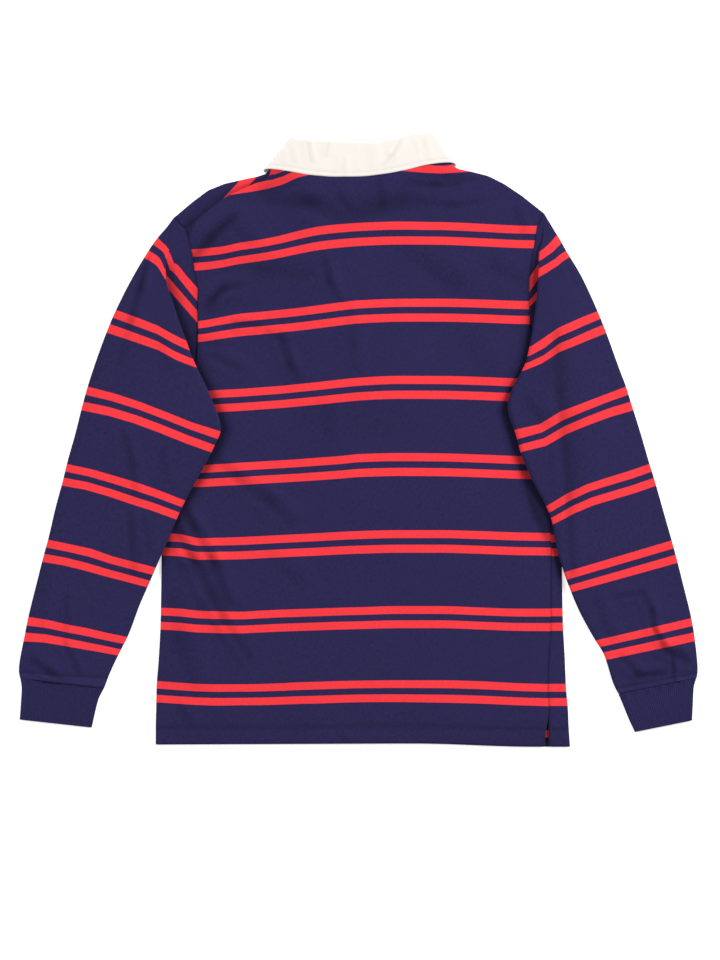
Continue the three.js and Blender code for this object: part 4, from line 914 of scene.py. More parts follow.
def sleeve_grid(rows, side):
    """One sleeve as a dense grid: each section is a path round the arm from the armhole or
    the underarm seam to the hidden turn, the inner fold, the outer fold and back underneath."""
    out = np.stack([rows["out_x"], rows["out_y"]], axis=1)
    inner = np.stack([rows["in_x"], rows["in_y"]], axis=1)
    tuck = np.stack([rows["tuck_x"], rows["tuck_y"]], axis=1)
    low, top = rows["low"], rows["top"]
    count = len(low)
    outward = (out - inner) / np.linalg.norm(out - inner, axis=1, keepdims=True)
    name = "left" if side < 0 else "right"
    holes = np.stack([ARMHOLES[name + "_x"], ARMHOLES[name + "_y"]], axis=1)[::-1]
    edge = np.concatenate([holes, np.repeat(holes[-1:], count - len(holes), axis=0)])
    away = np.tile([side * 1.0, 0.0], (count, 1))
    away[0] = [side * TIP_WAY[0], TIP_WAY[1]]
    edge = edge + away * SEAM_GAP
    rise = low - BACK_LEVEL
    flat_turn = shifted(tuck, outward, TUCK_SHIFTS, lerp(BACK_LEVEL, low[:, None], np.arange(4) / 3))
    to_tuck = tuck - edge
    to_tuck /= np.linalg.norm(to_tuck, axis=1, keepdims=True)
    round_turn = bend(tuck, BACK_LEVEL + rise / 2, to_tuck, np.linspace(-np.pi / 2, np.pi / 2, 4),
                      np.maximum(rise, 0) / 2, rise / 2)
    head_turn = np.where((rise < ROUND_FROM["tuck"])[:, None, None], flat_turn, round_turn)
    head_back = shifted(edge, outward, np.array([0.0]), BACK_LEVEL)[:, 0]
    head_front = shifted(edge, outward, np.array([0.0]), FRONT_LEVEL)[:, 0]

    lowered = np.minimum(DROP_Z, low[:, None] + (DROP_Z - DROP_Z[-1]) * DROP_SHARE)
    drop = shifted(tuck, outward, DROP_SHIFTS, np.maximum(FRONT_LEVEL, lowered))
    drop[HEAD_ROWS, 0, 2], drop[HEAD_ROWS, 1, 2] = UNDERARM["low"], UNDERARM["next"]
    drop_back = drop[:, 0].copy()
    drop_back[:, :2] += outward * UNDERARM["end"]
    drop_back[:, 2] = FRONT_LEVEL
    drop_back[HEAD_ROWS, 2] = BACK_LEVEL
    drop_front = drop_back.copy()
    drop_front[:, :2] += outward * SEAM_GAP
    drop_front[:, 2] = FRONT_LEVEL

    is_head = np.arange(count) < HEAD_ROWS
    turn = np.where(is_head[:, None, None], head_turn, drop)
    back = np.where(is_head[:, None], head_back, drop_back)
    front = np.where(is_head[:, None], head_front, drop_front)

    rise = top - low
    reach = np.minimum(rise / 2, WIDEST_FOLD)
    flat_inner = shifted(inner, outward, INNER_SHIFTS, lerp(low[:, None], top[:, None], np.arange(5) / 4))
    round_inner = bend(inner + outward * (reach + CLOTH / 2)[:, None], low + rise / 2, -outward,
                       UP_OVER, reach, rise / 2)
    inner_fold = np.where((rise < ROUND_FROM["inner"])[:, None, None], flat_inner, round_inner)
    edge_top = BACK_LEVEL + PUFF["height"] * (1 - np.exp(-np.arange(count) / PUFF["rows"]))
    outer_fold = bend(out - outward * (OUTER_FOLD + CLOTH / 2), (edge_top + FRONT_LEVEL) / 2, outward,
                      -UP_OVER, np.full(count, OUTER_FOLD), (edge_top - FRONT_LEVEL) / 2)
    upper = between(inner_fold[:, -1], outer_fold[:, 0], WAYS["upper"])
    share = np.arange(1, WAYS["upper"])[None, :] / WAYS["upper"]
    upper[..., 2] = lerp(inner_fold[:, -1:, 2], edge_top[:, None], share ** 2)
    sections = np.concatenate([
        back[:, None], between(back, turn[:, 0], WAYS["hidden"]), turn,
        between(turn[:, -1], inner_fold[:, 0], WAYS["hidden"]), inner_fold, upper, outer_fold,
        between(outer_fold[:, -1], front, WAYS["under"]), front[:, None]], axis=1)
    course = np.broadcast_to(rows["course"][:, None, None], sections.shape[:2] + (1,))
    upper_mask = np.zeros(sections.shape[:2] + (1,))
    upper_mask[:, INNER_MIDDLE:OUTER_TOP] = 1
    data = np.concatenate([sections, course, upper_mask], axis=2)
    dense, column_places = refined_both(data, SLEEVE_SPACING, rows["course"])
    x, y, z, course, mask = np.moveaxis(dense, 2, 0)
    ridges, deep = folds_at(SLEEVE_FOLDS, x, y)
    z = z + mask * (ridges + SLEEVE_WAVES["share"] * waves_at(x + SLEEVE_WAVES["shift_x"], y))
    points = np.stack([x, y, z], axis=2)
    around = run_along(points, 1)
    outer, inner_at = (points[:, int(column_places[index]), :2] for index in (OUTER_TOP, INNER_TOP))
    way = inner_at - outer
    span = points[..., :2] - outer[:, None]
    share = np.clip((span * way[:, None]).sum(axis=2) / (way ** 2).sum(axis=1)[:, None], 0, 1)
    places = np.arange(points.shape[1])
    layers = column_places[[SEAM_COLUMN, TUCK_COLUMN, INNER_MIDDLE]]
    under = np.interp(places, layers, [0, 1, 2])[None, :] + 0 * x
    hidden = HIDDEN_COURSES[name]
    at_edge, at_tuck = (np.interp(course, hidden["course"], hidden[key]) for key in ("edge", "tuck"))
    moved = np.where(under < 1, lerp(at_edge, at_tuck, under), at_tuck * (2 - under))
    # Painted shade on the hidden layers under the inner fold, where the sleeve's own shadow falls
    valley = (painted_sleeve_shadow(x, y) + VALLEY["shade"]) * smooth(VALLEY["layers"] - under)
    valley = valley * smooth((VALLEY["top"] - y) / VALLEY["ramp"])
    # Painted shade in the armhole seam's furrow
    at_seam = SEAM_SHADE * np.exp(-(places / SEAM_SPREAD["sleeve"]) ** 2)[None, :]
    to_cuff = rows["course"][-1] - course
    band = smooth((END_BAND["length"] - to_cuff) / END_BAND["ramp"])
    points[..., 2] += mask * band * END_BAND["puff"] * smooth(to_cuff / END_BAND["ramp"])
    band_edge = np.exp(-((to_cuff - END_BAND["length"]) / END_BAND["ramp"]) ** 2)
    # Painted shade: the creases' on top, the valley's underneath, and a dark line at the stitched band's
    # edge; the band is made lighter
    shade = deep * mask + valley * (1 - mask) + band_edge * END_BAND["shade"] - band * END_BAND["light"]
    shade = np.clip(shade + at_seam, -1, 1)
    cloth = np.stack([around, -course - moved + bow_at(name, course, share), shade], axis=2)
    return points, cloth


CUFF = {"depth": 57.0, "seam_in": 8.0, "ribs": 0.08, "crown": 0.3, "above": 1.2}
# Pinches at the sleeve: pitch, height and fade, and the shade painted along them and its fade
PINCH = {"pitch": 13.0, "height": 0.6, "fade": 7.0, "shade": 0.35, "shade_fade": 5.0}
CUFF_STEPS = 4
CUFF_SPACING = {"rows": 1.6, "columns": 1.6}


def cuff_grid(rows):
    """A flattened knitted tube with a seam underneath. Ribs are a sine round it, and it is
    pinched at the sleeve by a wider sine that fades down the cuff, with shade painted along it."""
    out = np.stack([rows["out_x"], rows["out_y"]], axis=1)
    inner = np.stack([rows["in_x"], rows["in_y"]], axis=1)
    outward = (out - inner) / np.linalg.norm(out - inner, axis=1, keepdims=True)
    rise = np.full(len(out), CUFF_TOP - FRONT_LEVEL)
    middle = FRONT_LEVEL + rise / 2
    inset = OUTER_FOLD + CLOTH / 2
    one = np.full(len(out), OUTER_FOLD)
    inner_fold = bend(inner + outward * inset, middle, -outward, UP_OVER, one, rise / 2)
    outer_fold = bend(out - outward * inset, middle, outward, -UP_OVER, one, rise / 2)
    level_way = np.concatenate([outward, np.zeros((len(out), 1))], axis=1)
    back = inner_fold[:, 0] + level_way * CUFF["seam_in"]
    front = inner_fold[:, 0] + level_way * (CUFF["seam_in"] + SEAM_GAP)
    sections = np.concatenate([
        back[:, None], inner_fold, between(inner_fold[:, -1], outer_fold[:, 0], CUFF_STEPS), outer_fold,
        between(outer_fold[:, -1], front, CUFF_STEPS), front[:, None]], axis=1)
    dense = refined_both(sections, CUFF_SPACING)[0]
    around = run_along(dense, 1)
    down = np.linspace(0, CUFF["depth"], dense.shape[0])[:, None] + np.zeros(dense.shape[:2])
    above = smooth((dense[..., 2] - middle[0]) / CUFF["above"])
    ribs = CUFF["ribs"] * np.sin(around / RIB * 2 * np.pi) * above
    pinches = np.sin(around / PINCH["pitch"] * 2 * np.pi)
    pucker = PINCH["height"] * np.exp(-down / PINCH["fade"]) * pinches * above
    dense[..., 2] += ribs + pucker + CUFF["crown"] * above * np.sin(down / CUFF["depth"] * np.pi)
    # Painted shade in step with the pinches, fading down the cuff
    shade = above * PINCH["shade"] * np.exp(-down / PINCH["shade_fade"]) * (1 + pinches) / 2
    return dense, np.stack([around, down, shade], axis=2)


# Collar
# Steps up the stand, round the fold and down the fall; and where the collar's creases and waves
# start: past the fold in its steps, and short of the turn underneath in radians
COLLAR_STEPS = {"stand": 3, "fold": 6, "fall": 4}
COLLAR_SPACING = {"rows": 2.0, "columns": 1.9}
ON_TOP = {"from": 7.0, "ramp": 3.0, "turned": 0.6}
COLLAR_SOFT = {"waves": 0.8, "finer": 2, "lift": 0.35}


def collar_grid():
    """The collar's band: each section runs from the neck seam up the stand, over the fold
    line and down the fall, and turns from the front's side to the back's."""
    angle = np.radians(COLLAR_ROWS["turn"])
    seam = np.stack([COLLAR_ROWS["seam_x"], COLLAR_ROWS["seam_y"]], axis=1)
    fold = np.stack([COLLAR_ROWS["fold_x"], COLLAR_ROWS["fold_y"]], axis=1)
    edge = np.stack([COLLAR_ROWS["edge_x"], COLLAR_ROWS["edge_y"]], axis=1)
    up = (fold - seam) / np.linalg.norm(fold - seam, axis=1, keepdims=True)
    slant = (fold - edge) / np.linalg.norm(fold - edge, axis=1, keepdims=True)
    side = np.where(COLLAR_ROWS["seam_x"] < 0, -1.0, 1.0)[:, None]
    outward = np.stack([slant[:, 1], -slant[:, 0]], axis=1) * side
    middle = (FRONT_LEVEL + BACK_LEVEL) / 2 + NECK_LIFT
    stand, fall = FOLD_RADIUS, FOLD_RADIUS + LAYER

    def place(at, radius):
        """Places at a distance from the turn's middle line, turned about it by each angle."""
        shift = radius * np.sin(angle) - (fall - FOLD_RADIUS) * np.sin(angle)
        z = middle + radius * np.cos(angle)
        return np.concatenate([at + outward * shift[:, None], z[:, None]], axis=1)

    points = [place(lerp(seam, fold, step / COLLAR_STEPS["stand"]), stand)
              for step in range(COLLAR_STEPS["stand"])]
    half = (fall - stand) / 2
    for step in range(COLLAR_STEPS["fold"] + 1):
        turn = np.pi * step / COLLAR_STEPS["fold"]
        points.append(place(fold + up * half * np.sin(turn), (stand + fall) / 2 - half * np.cos(turn)))
    points += [place(lerp(fold, edge, step / COLLAR_STEPS["fall"]), fall)
               for step in range(1, COLLAR_STEPS["fall"] + 1)]
    grid = np.stack(points, axis=1)
    part = np.broadcast_to(np.arange(grid.shape[1])[None, :, None], grid.shape[:2] + (1,))
    turned = np.broadcast_to(angle[:, None, None], grid.shape[:2] + (1,))
    data = np.concatenate([grid, part.astype(float), turned], axis=2)
    dense = refined_both(data, COLLAR_SPACING)[0]
    x, y, z, part, turned = np.moveaxis(dense, 2, 0)
    short_of_turn = smooth((ON_TOP["turned"] - turned) / ON_TOP["turned"])
    on_top = smooth((part - ON_TOP["from"]) / ON_TOP["ramp"]) * short_of_turn
    ridges, deep = folds_at(COLLAR_FOLDS, x, y)
    waves = COLLAR_SOFT["waves"] * waves_at(COLLAR_SOFT["finer"] * x, COLLAR_SOFT["finer"] * y)
    z = z + on_top * (ridges + waves + COLLAR_SOFT["lift"])
    points = np.stack([x, y, z], axis=2)
    along, down = run_along(points, 0), run_along(points, 1)
    stitched = np.exp(-((down[:, -1:] - down - COLLAR_STITCH["in"]) / COLLAR_STITCH["furrow"]) ** 2)
    points[..., 2] -= COLLAR_STITCH["deep"] * stitched * on_top
    # Painted shade in the collar's creases and in the topstitching's furrow
    shade = np.maximum(deep, COLLAR_STITCH["shade"] * stitched) * on_top
    return points, np.stack([along, down, shade], axis=2)


# Meshes
def new_object(name, vertices, *faces, cloth=None):
    """A smooth mesh object in metres, from places in millimetres and one or more arrays of
    quads or triangles, with the cloth coordinates and painted shade as a point attribute."""
    mesh = bpy.data.meshes.new(name)
    corners = [face for block in faces for face in np.asarray(block).tolist()]
    mesh.from_pydata((np.asarray(vertices) * MM).tolist(), [], corners)
    mesh.polygons.foreach_set("use_smooth", np.ones(len(mesh.polygons), bool))
    if cloth is not None:
        layer = mesh.attributes.new("cloth", "FLOAT_VECTOR", "POINT")
        layer.data.foreach_set("vector", np.asarray(cloth, np.float32).ravel())
    mesh.update()
    piece = bpy.data.objects.new(name, mesh)
    bpy.context.scene.collection.objects.link(piece)
    return piece


def box_object(name, box):
    """A flat box from its least and most x, y and z."""
    x0, x1, y0, y1, z0, z1 = box
    corners = [[x, y, z] for z in (z0, z1) for x, y in ((x0, y0), (x1, y0), (x1, y1), (x0, y1))]
    sides = [[i, (i + 1) % 4, (i + 1) % 4 + 4, i + 4] for i in range(4)]
    piece = new_object(name, corners, [[3, 2, 1, 0], [4, 5, 6, 7], *sides])
    piece.data.polygons.foreach_set("use_smooth", np.zeros(len(piece.data.polygons), bool))
    return piece


def grid_faces(rows, columns, offset=0, flip=False):
    """The quads between neighbouring rows and columns."""
    r, c = np.meshgrid(np.arange(rows - 1), np.arange(columns - 1), indexing="ij")
    a = (r * columns + c).ravel() + offset
    quads = np.stack([a, a + 1, a + columns + 1, a + columns], axis=1)
    return quads[:, ::-1] if flip else quads


def ring_faces(rings, sides):
    """The quads between neighbouring rings of points, facing out where the rings rise."""
    start = np.arange(rings - 1)[:, None] * sides
    ring = np.arange(sides)[None, :]
    after = (ring + 1) % sides
    quads = np.stack([start + ring, start + after, start + sides + after, start + sides + ring], axis=2)
    return quads.reshape(-1, 4)


def border(rows, columns):
    """The grid's border as one loop of point numbers."""
    top = np.arange(columns)
    right = np.arange(1, rows) * columns + columns - 1
    bottom = (rows - 1) * columns + np.arange(columns - 2, -1, -1)
    left = np.arange(rows - 2, 0, -1) * columns
    return np.concatenate([top, right, bottom, left])


RIM_BULGE = 0.55


def cloth_shell(name, points, cloth, half):
    """A closed shell of cloth about a grid: two faces half a thickness to each side, joined
    round the border by a rim that bulges a little."""
    rows, columns = points.shape[:2]
    normal = normals(points)
    flat_points, flat_normals = points.reshape(-1, 3), normal.reshape(-1, 3)
    total = len(flat_points)
    loop = border(rows, columns)
    ahead, behind = flat_points[np.roll(loop, -1)], flat_points[np.roll(loop, 1)]
    outward = np.cross(ahead - behind, flat_normals[loop])
    outward /= np.maximum(np.linalg.norm(outward, axis=1, keepdims=True), 1e-9)
    rim = flat_points[loop] + outward * half * RIM_BULGE
    vertices = np.concatenate([flat_points + flat_normals * half, flat_points - flat_normals * half, rim])
    flat_cloth = cloth.reshape(-1, 3)
    middle = 2 * total + np.arange(len(loop))
    after, middle_after = np.roll(loop, -1), np.roll(middle, -1)
    upper = np.stack([loop, middle, middle_after, after], axis=1)
    lower = np.stack([middle, loop + total, after + total, middle_after], axis=1)
    return new_object(name, vertices, grid_faces(rows, columns), grid_faces(rows, columns, total, True),
                      upper, lower, cloth=np.concatenate([flat_cloth, flat_cloth, flat_cloth[loop]]))


LAST_CELL = 1.001


def read_grid(grid, row, column):
    """The grid's values at fractional rows and columns, by straight interpolation."""
    row = np.clip(row, 0, grid.shape[0] - LAST_CELL)
    column = np.clip(column, 0, grid.shape[1] - LAST_CELL)
    r, c = row.astype(int), column.astype(int)
    fr, fc = (row - r)[:, None], (column - c)[:, None]
    return ((grid[r, c] * (1 - fc) + grid[r, c + 1] * fc) * (1 - fr)
            + (grid[r + 1, c] * (1 - fc) + grid[r + 1, c + 1] * fc) * fr)


def stitch_line(grid, row, column, sewing, lift):
    """Stitches along a line on a grid: their middles, directions and normals, evenly spaced by
    the line's own length."""
    points = read_grid(grid, row, column)
    normal = read_grid(normals(grid), row, column)
    steps = np.linalg.norm(np.diff(points, axis=0), axis=1)
    run = np.concatenate([[0], np.cumsum(steps)])
    middles = np.arange(sewing["pitch"] / 2, run[-1], sewing["pitch"])

    def at(values, where):
        """Values read at lengths along the line, by straight interpolation."""
        return np.stack([np.interp(where, run, values[:, i]) for i in range(3)], axis=1)

    half_length = sewing["length"] / 2
    start, end = at(points, middles - half_length), at(points, middles + half_length)
    up = at(normal, middles)
    up /= np.linalg.norm(up, axis=1, keepdims=True)
    middle = (start + end) / 2 + up * lift
    middle[:, 2] = np.maximum(middle[:, 2], LOWEST_THREAD)
    return middle, end - start, up


THREAD_SIDES = 6
THREAD_ENDS = np.array([[0, 5, 4, 3], [0, 3, 2, 1]])
THREAD_RINGS = table("along size rise", [
    [-0.5, 0.35, -0.6],
    [-0.3, 0.95, 0.1],
    [0, 1, 0.35],
    [0.3, 0.95, 0.1],
    [0.5, 0.35, -0.6],
])


def stitch_mesh(name, line, radius):
    """Threads lying on the cloth: each is a spindle of five rings about its stitch, highest
    in the middle."""
    middle, way, up = line
    side = np.cross(up, way)
    side /= np.maximum(np.linalg.norm(side, axis=1, keepdims=True), 1e-9)
    sides = THREAD_SIDES
    angle = np.arange(sides) / sides * 2 * np.pi
    parts = []
    for along, size, rise in zip(*THREAD_RINGS.values()):
        centre = middle + way * along + up * rise * radius
        ring = (centre[:, None] + side[:, None] * (np.cos(angle) * radius * size)[None, :, None]
                + up[:, None] * (np.sin(angle) * radius * size)[None, :, None])
        parts.append(ring)
    vertices = np.concatenate(parts, axis=1)
    count, each = vertices.shape[:2]
    caps = np.concatenate([THREAD_ENDS, each - sides + THREAD_ENDS[:, ::-1]])
    template = np.concatenate([ring_faces(len(parts), sides), caps])
    faces = (template[None] + (np.arange(count) * each)[:, None, None]).reshape(-1, 4)
    return new_object(name, vertices.reshape(-1, 3), faces)


def turned_solid(name, profile, sides, x, y):
    """A profile of radii and heights turned about a standing axis at a place: its first and
    last points lie on the axis and close it below and above."""
    angle = np.arange(sides) / sides * 2 * np.pi
    radius, height = profile["r"][1:-1, None], profile["z"][1:-1, None] + 0 * angle
    rings = np.stack([x + radius * np.cos(angle), y + radius * np.sin(angle), height], axis=2)
    poles = [[x, y, profile["z"][0]], [x, y, profile["z"][-1]]]
    vertices = np.concatenate([rings.reshape(-1, 3), poles])
    count = rings.shape[0] * sides
    ring = np.arange(sides)
    after = (ring + 1) % sides
    below = np.stack([after, ring, np.full(sides, count)], axis=1)
    above = np.stack([count - sides + ring, count - sides + after, np.full(sides, count + 1)], axis=1)
    return new_object(name, vertices, ring_faces(rings.shape[0], sides), below, above)


# Materials
def node(tree, kind, inputs=None, **settings):
    """One shader node, with its settings and its inputs' values or links."""
    made = tree.nodes.new(kind)
    for key, value in settings.items():
        setattr(made, key, value)
    for key, value in (inputs or {}).items():
        if isinstance(value, bpy.types.NodeSocket):
            tree.links.new(value, made.inputs[key])
        else:
            made.inputs[key].default_value = value
    return made


def maths(tree, operation, *values):
    """One step of arithmetic on numbers or sockets."""
    return node(tree, "ShaderNodeMath", dict(enumerate(values)), operation=operation).outputs[0]


def weighted(tree, *terms):
    """The sum of values, each times its weight."""
    parts = [maths(tree, "MULTIPLY", value, weight) for value, weight in terms]
    total = parts[0]
    for part in parts[1:]:
        total = maths(tree, "ADD", total, part)
    return total


def noise(tree, place, scale, detail, **inputs):
    """Smooth noise from 0 to 1 at a place."""
    inputs = {"Vector": place, "Scale": scale, "Detail": detail, **inputs}
    return node(tree, "ShaderNodeTexNoise", inputs).outputs["Fac"]


def plane(tree, across, along=0.0):
    """A place from two coordinates of the cloth."""
    return node(tree, "ShaderNodeCombineXYZ", {"X": across, "Y": along}).outputs[0]


def group_tree(name, inputs, outputs):
    """An empty shader node group with named number, vector or colour sockets."""
    tree = bpy.data.node_groups.new(name, "ShaderNodeTree")
    for label, kind, default in inputs:
        socket = tree.interface.new_socket(name=label, in_out="INPUT", socket_type=kind)
        if default is not None:
            socket.default_value = default
    for label, kind in outputs:
        tree.interface.new_socket(name=label, in_out="OUTPUT", socket_type=kind)
    return tree, tree.nodes.new("NodeGroupInput").outputs, tree.nodes.new("NodeGroupOutput").inputs


def stripe_group():
    """Pairs of stripes by height up the cloth: 1 in a stripe and 0 outside, with yarn-wide
    edges. A pair's upper stripe ends at each whole pitch, its lower one a shift below."""
    if "paired_stripes" in bpy.data.node_groups:
        return bpy.data.node_groups["paired_stripes"]
    tree, given, out = group_tree("paired_stripes", [
        ("Height", "NodeSocketFloat", 0.0), ("Pitch", "NodeSocketFloat", STRIPE_PITCH),
        ("Band", "NodeSocketFloat", 9.6), ("Shift", "NodeSocketFloat", 18.4),
        ("Softness", "NodeSocketFloat", 0.5)], [("Mask", "NodeSocketFloat")])
    past = maths(tree, "FLOORED_MODULO", given["Height"], given["Pitch"])
    below = maths(tree, "SUBTRACT", given["Pitch"], past)
    bands = []
    for start in (0.0, given["Shift"]):
        centre = maths(tree, "ADD", start, maths(tree, "MULTIPLY", given["Band"], 0.5))
        away = maths(tree, "ABSOLUTE", maths(tree, "SUBTRACT", below, centre))
        spare = maths(tree, "SUBTRACT", maths(tree, "MULTIPLY", given["Band"], 0.5), away)
        edge = maths(tree, "ADD", maths(tree, "DIVIDE", spare, given["Softness"]), 0.5)
        bands.append(node(tree, "ShaderNodeClamp", {"Value": edge}).outputs[0])
    tree.links.new(maths(tree, "MAXIMUM", *bands), out["Mask"])
    return tree


# Knit: how far wales wander, the height of a wale, of the loops' ripple and of fuzz, and how
# much of its tone comes from slubs in the yarn, from fuzz and from mottling
KNIT = {"wander": 0.9, "wale": 1.4, "ripple": 0.22, "fuzz": 0.6}
KNIT_TONE = {"slub": 0.4, "fuzz": 0.3, "mottle": 0.3, "base": 0.5}


def knit_group():
    """Single jersey: wales across and loops along, broken up by yarn noise. Puts out a
    height and a tone about 1."""
    if "jersey_knit" in bpy.data.node_groups:
        return bpy.data.node_groups["jersey_knit"]
    tree, given, out = group_tree("jersey_knit", [
        ("Across", "NodeSocketFloat", 0.0), ("Along", "NodeSocketFloat", 0.0),
        ("Wale", "NodeSocketFloat", 1.15), ("Loop", "NodeSocketFloat", 0.85)],
        [("Height", "NodeSocketFloat"), ("Tone", "NodeSocketFloat")])
    place = plane(tree, given["Across"], given["Along"])
    wander = noise(tree, place, scale=0.35, detail=2.0)
    across = maths(tree, "ADD", maths(tree, "DIVIDE", given["Across"], given["Wale"]),
                   maths(tree, "MULTIPLY", wander, KNIT["wander"]))
    wale = maths(tree, "PINGPONG", across, 0.5)
    loop = maths(tree, "ADD", maths(tree, "DIVIDE", given["Along"], given["Loop"]), wale)
    ripple = maths(tree, "SINE", maths(tree, "MULTIPLY", loop, 2 * np.pi))
    fuzz = noise(tree, place, scale=1.7, detail=3.0)
    height = weighted(tree, (wale, KNIT["wale"]), (ripple, KNIT["ripple"]), (fuzz, KNIT["fuzz"]))
    tree.links.new(height, out["Height"])
    stretched = node(tree, "ShaderNodeMapping", {"Vector": place, "Scale": (0.9, 0.16, 1)}).outputs[0]
    slub = noise(tree, stretched, scale=1.0, detail=2.0)
    mottle = noise(tree, place, scale=0.28, detail=2.0)
    tone = weighted(tree, (slub, KNIT_TONE["slub"]), (fuzz, KNIT_TONE["fuzz"]),
                    (mottle, KNIT_TONE["mottle"]))
    tree.links.new(maths(tree, "ADD", tone, KNIT_TONE["base"]), out["Tone"])
    return tree


WASHED = {"patches": 0.7, "fine": 0.3}


def wear_group():
    """Slow patches of washed tone over the whole garment, from object coordinates."""
    if "washed_tone" in bpy.data.node_groups:
        return bpy.data.node_groups["washed_tone"]
    tree, given, out = group_tree("washed_tone", [
        ("Place", "NodeSocketVector", None), ("Amount", "NodeSocketFloat", 0.12)],
        [("Tone", "NodeSocketFloat")])
    patches = noise(tree, given["Place"], scale=9.0, detail=4.0, Roughness=0.6)
    fine = noise(tree, given["Place"], scale=120.0, detail=2.0)
    mixed = weighted(tree, (patches, WASHED["patches"]), (fine, WASHED["fine"]))
    spread = maths(tree, "MULTIPLY", maths(tree, "SUBTRACT", mixed, 0.5), given["Amount"])
    tree.links.new(maths(tree, "ADD", maths(tree, "MULTIPLY", spread, 2.0), 1.0), out["Tone"])
    return tree


# Twill: the slant of its ribs, how uneven they are, their height, and their part in its tone
TWILL = {"slant": 0.8, "uneven": 2.5, "rib": 0.35}
TWILL_TONE = {"rib": 0.012, "yarn": 0.05, "base": 0.97}


def twill_group():
    """Fine diagonal ribs of twill, as a height and a tone about 1."""
    if "twill_weave" in bpy.data.node_groups:
        return bpy.data.node_groups["twill_weave"]
    tree, given, out = group_tree("twill_weave", [
        ("Across", "NodeSocketFloat", 0.0), ("Along", "NodeSocketFloat", 0.0),
        ("Rib", "NodeSocketFloat", 0.9)], [("Height", "NodeSocketFloat"), ("Tone", "NodeSocketFloat")])
    yarn = noise(tree, plane(tree, given["Across"], given["Along"]), scale=1.2, detail=3.0)
    slant = maths(tree, "ADD", given["Across"], maths(tree, "MULTIPLY", given["Along"], TWILL["slant"]))
    ribs = maths(tree, "DIVIDE", slant, given["Rib"])
    wave = maths(tree, "SINE", weighted(tree, (ribs, 2 * np.pi), (yarn, TWILL["uneven"])))
    tree.links.new(maths(tree, "ADD", maths(tree, "MULTIPLY", wave, TWILL["rib"]), yarn), out["Height"])
    tone = weighted(tree, (wave, TWILL_TONE["rib"]), (yarn, TWILL_TONE["yarn"]))
    tree.links.new(maths(tree, "ADD", tone, TWILL_TONE["base"]), out["Tone"])
    return tree


def group_node(tree, group, **inputs):
    """A node group placed in a material, with its own values or links."""
    made = tree.nodes.new("ShaderNodeGroup")
    made.node_tree = group
    for key, value in inputs.items():
        if isinstance(value, bpy.types.NodeSocket):
            tree.links.new(value, made.inputs[key])
        else:
            made.inputs[key].default_value = value
    return made.outputs


def tinted(tree, colour, *tones):
    """A colour made lighter or darker by tones about 1."""
    for tone in tones:
        grey = node(tree, "ShaderNodeCombineXYZ", {"X": tone, "Y": tone, "Z": tone}).outputs[0]
        made = node(tree, "ShaderNodeVectorMath", {0: colour, 1: grey}, operation="MULTIPLY")
        colour = made.outputs[0]
    return colour


SPECULAR, SHEEN_ROUGHNESS = 0.1, 0.45


def finish_material(name, sheen, roughness):
    """A material with its Principled shader, ready for its colour and bump."""
    material = bpy.data.materials.new(name)
    material.use_nodes = True
    tree = material.node_tree
    shader = tree.nodes["Principled BSDF"]
    shader.inputs["Roughness"].default_value = roughness
    shader.inputs["Specular IOR Level"].default_value = SPECULAR
    shader.inputs["Sheen Weight"].default_value = sheen
    shader.inputs["Sheen Roughness"].default_value = SHEEN_ROUGHNESS
    return material, tree, shader


def cloth_place(tree):
    """The piece's own cloth coordinates across and along, and the shade painted on it (below 0: lighter)."""
    source = node(tree, "ShaderNodeAttribute", attribute_name="cloth")
    return node(tree, "ShaderNodeSeparateXYZ", {0: source.outputs["Vector"]}).outputs


def painted_shade_tone(tree, place, amount):
    """A tone about 1 from the cloth's painted shade: darker in creases, seam furrows and shadows."""
    return maths(tree, "SUBTRACT", 1.0, maths(tree, "MULTIPLY", place["Z"], amount))


def object_place(tree):
    """The place on the shirt as a whole."""
    return node(tree, "ShaderNodeTexCoord").outputs["Object"]


def relief(tree, shader, height, distance, strength):
    """The shader's bump from a height."""
    bump = node(tree, "ShaderNodeBump", {"Height": height, "Distance": distance, "Strength": strength})
    tree.links.new(bump.outputs[0], shader.inputs["Normal"])


def plain_colour(tree, colour):
    """One colour as a socket."""
    made = node(tree, "ShaderNodeRGB")
    made.outputs[0].default_value = (*colour, 1)
    return made.outputs[0]


# How strongly the yarns' tone varies in the dark cloth and in the red stripes, how ragged the
# stripes' edges are, and how dark the shade painted in the jersey's and the twill's creases and shadows is
DARK_FLECKS, RED_FLECKS = 1.5, 0.45
STRIPE_JAG = 0.8
JERSEY_PAINTED_SHADE, TWILL_PAINTED_SHADE = 0.5, 0.25
JERSEY_WEAR, TWILL_WEAR = 0.1, 0.05
RIB_TONE = 0.03


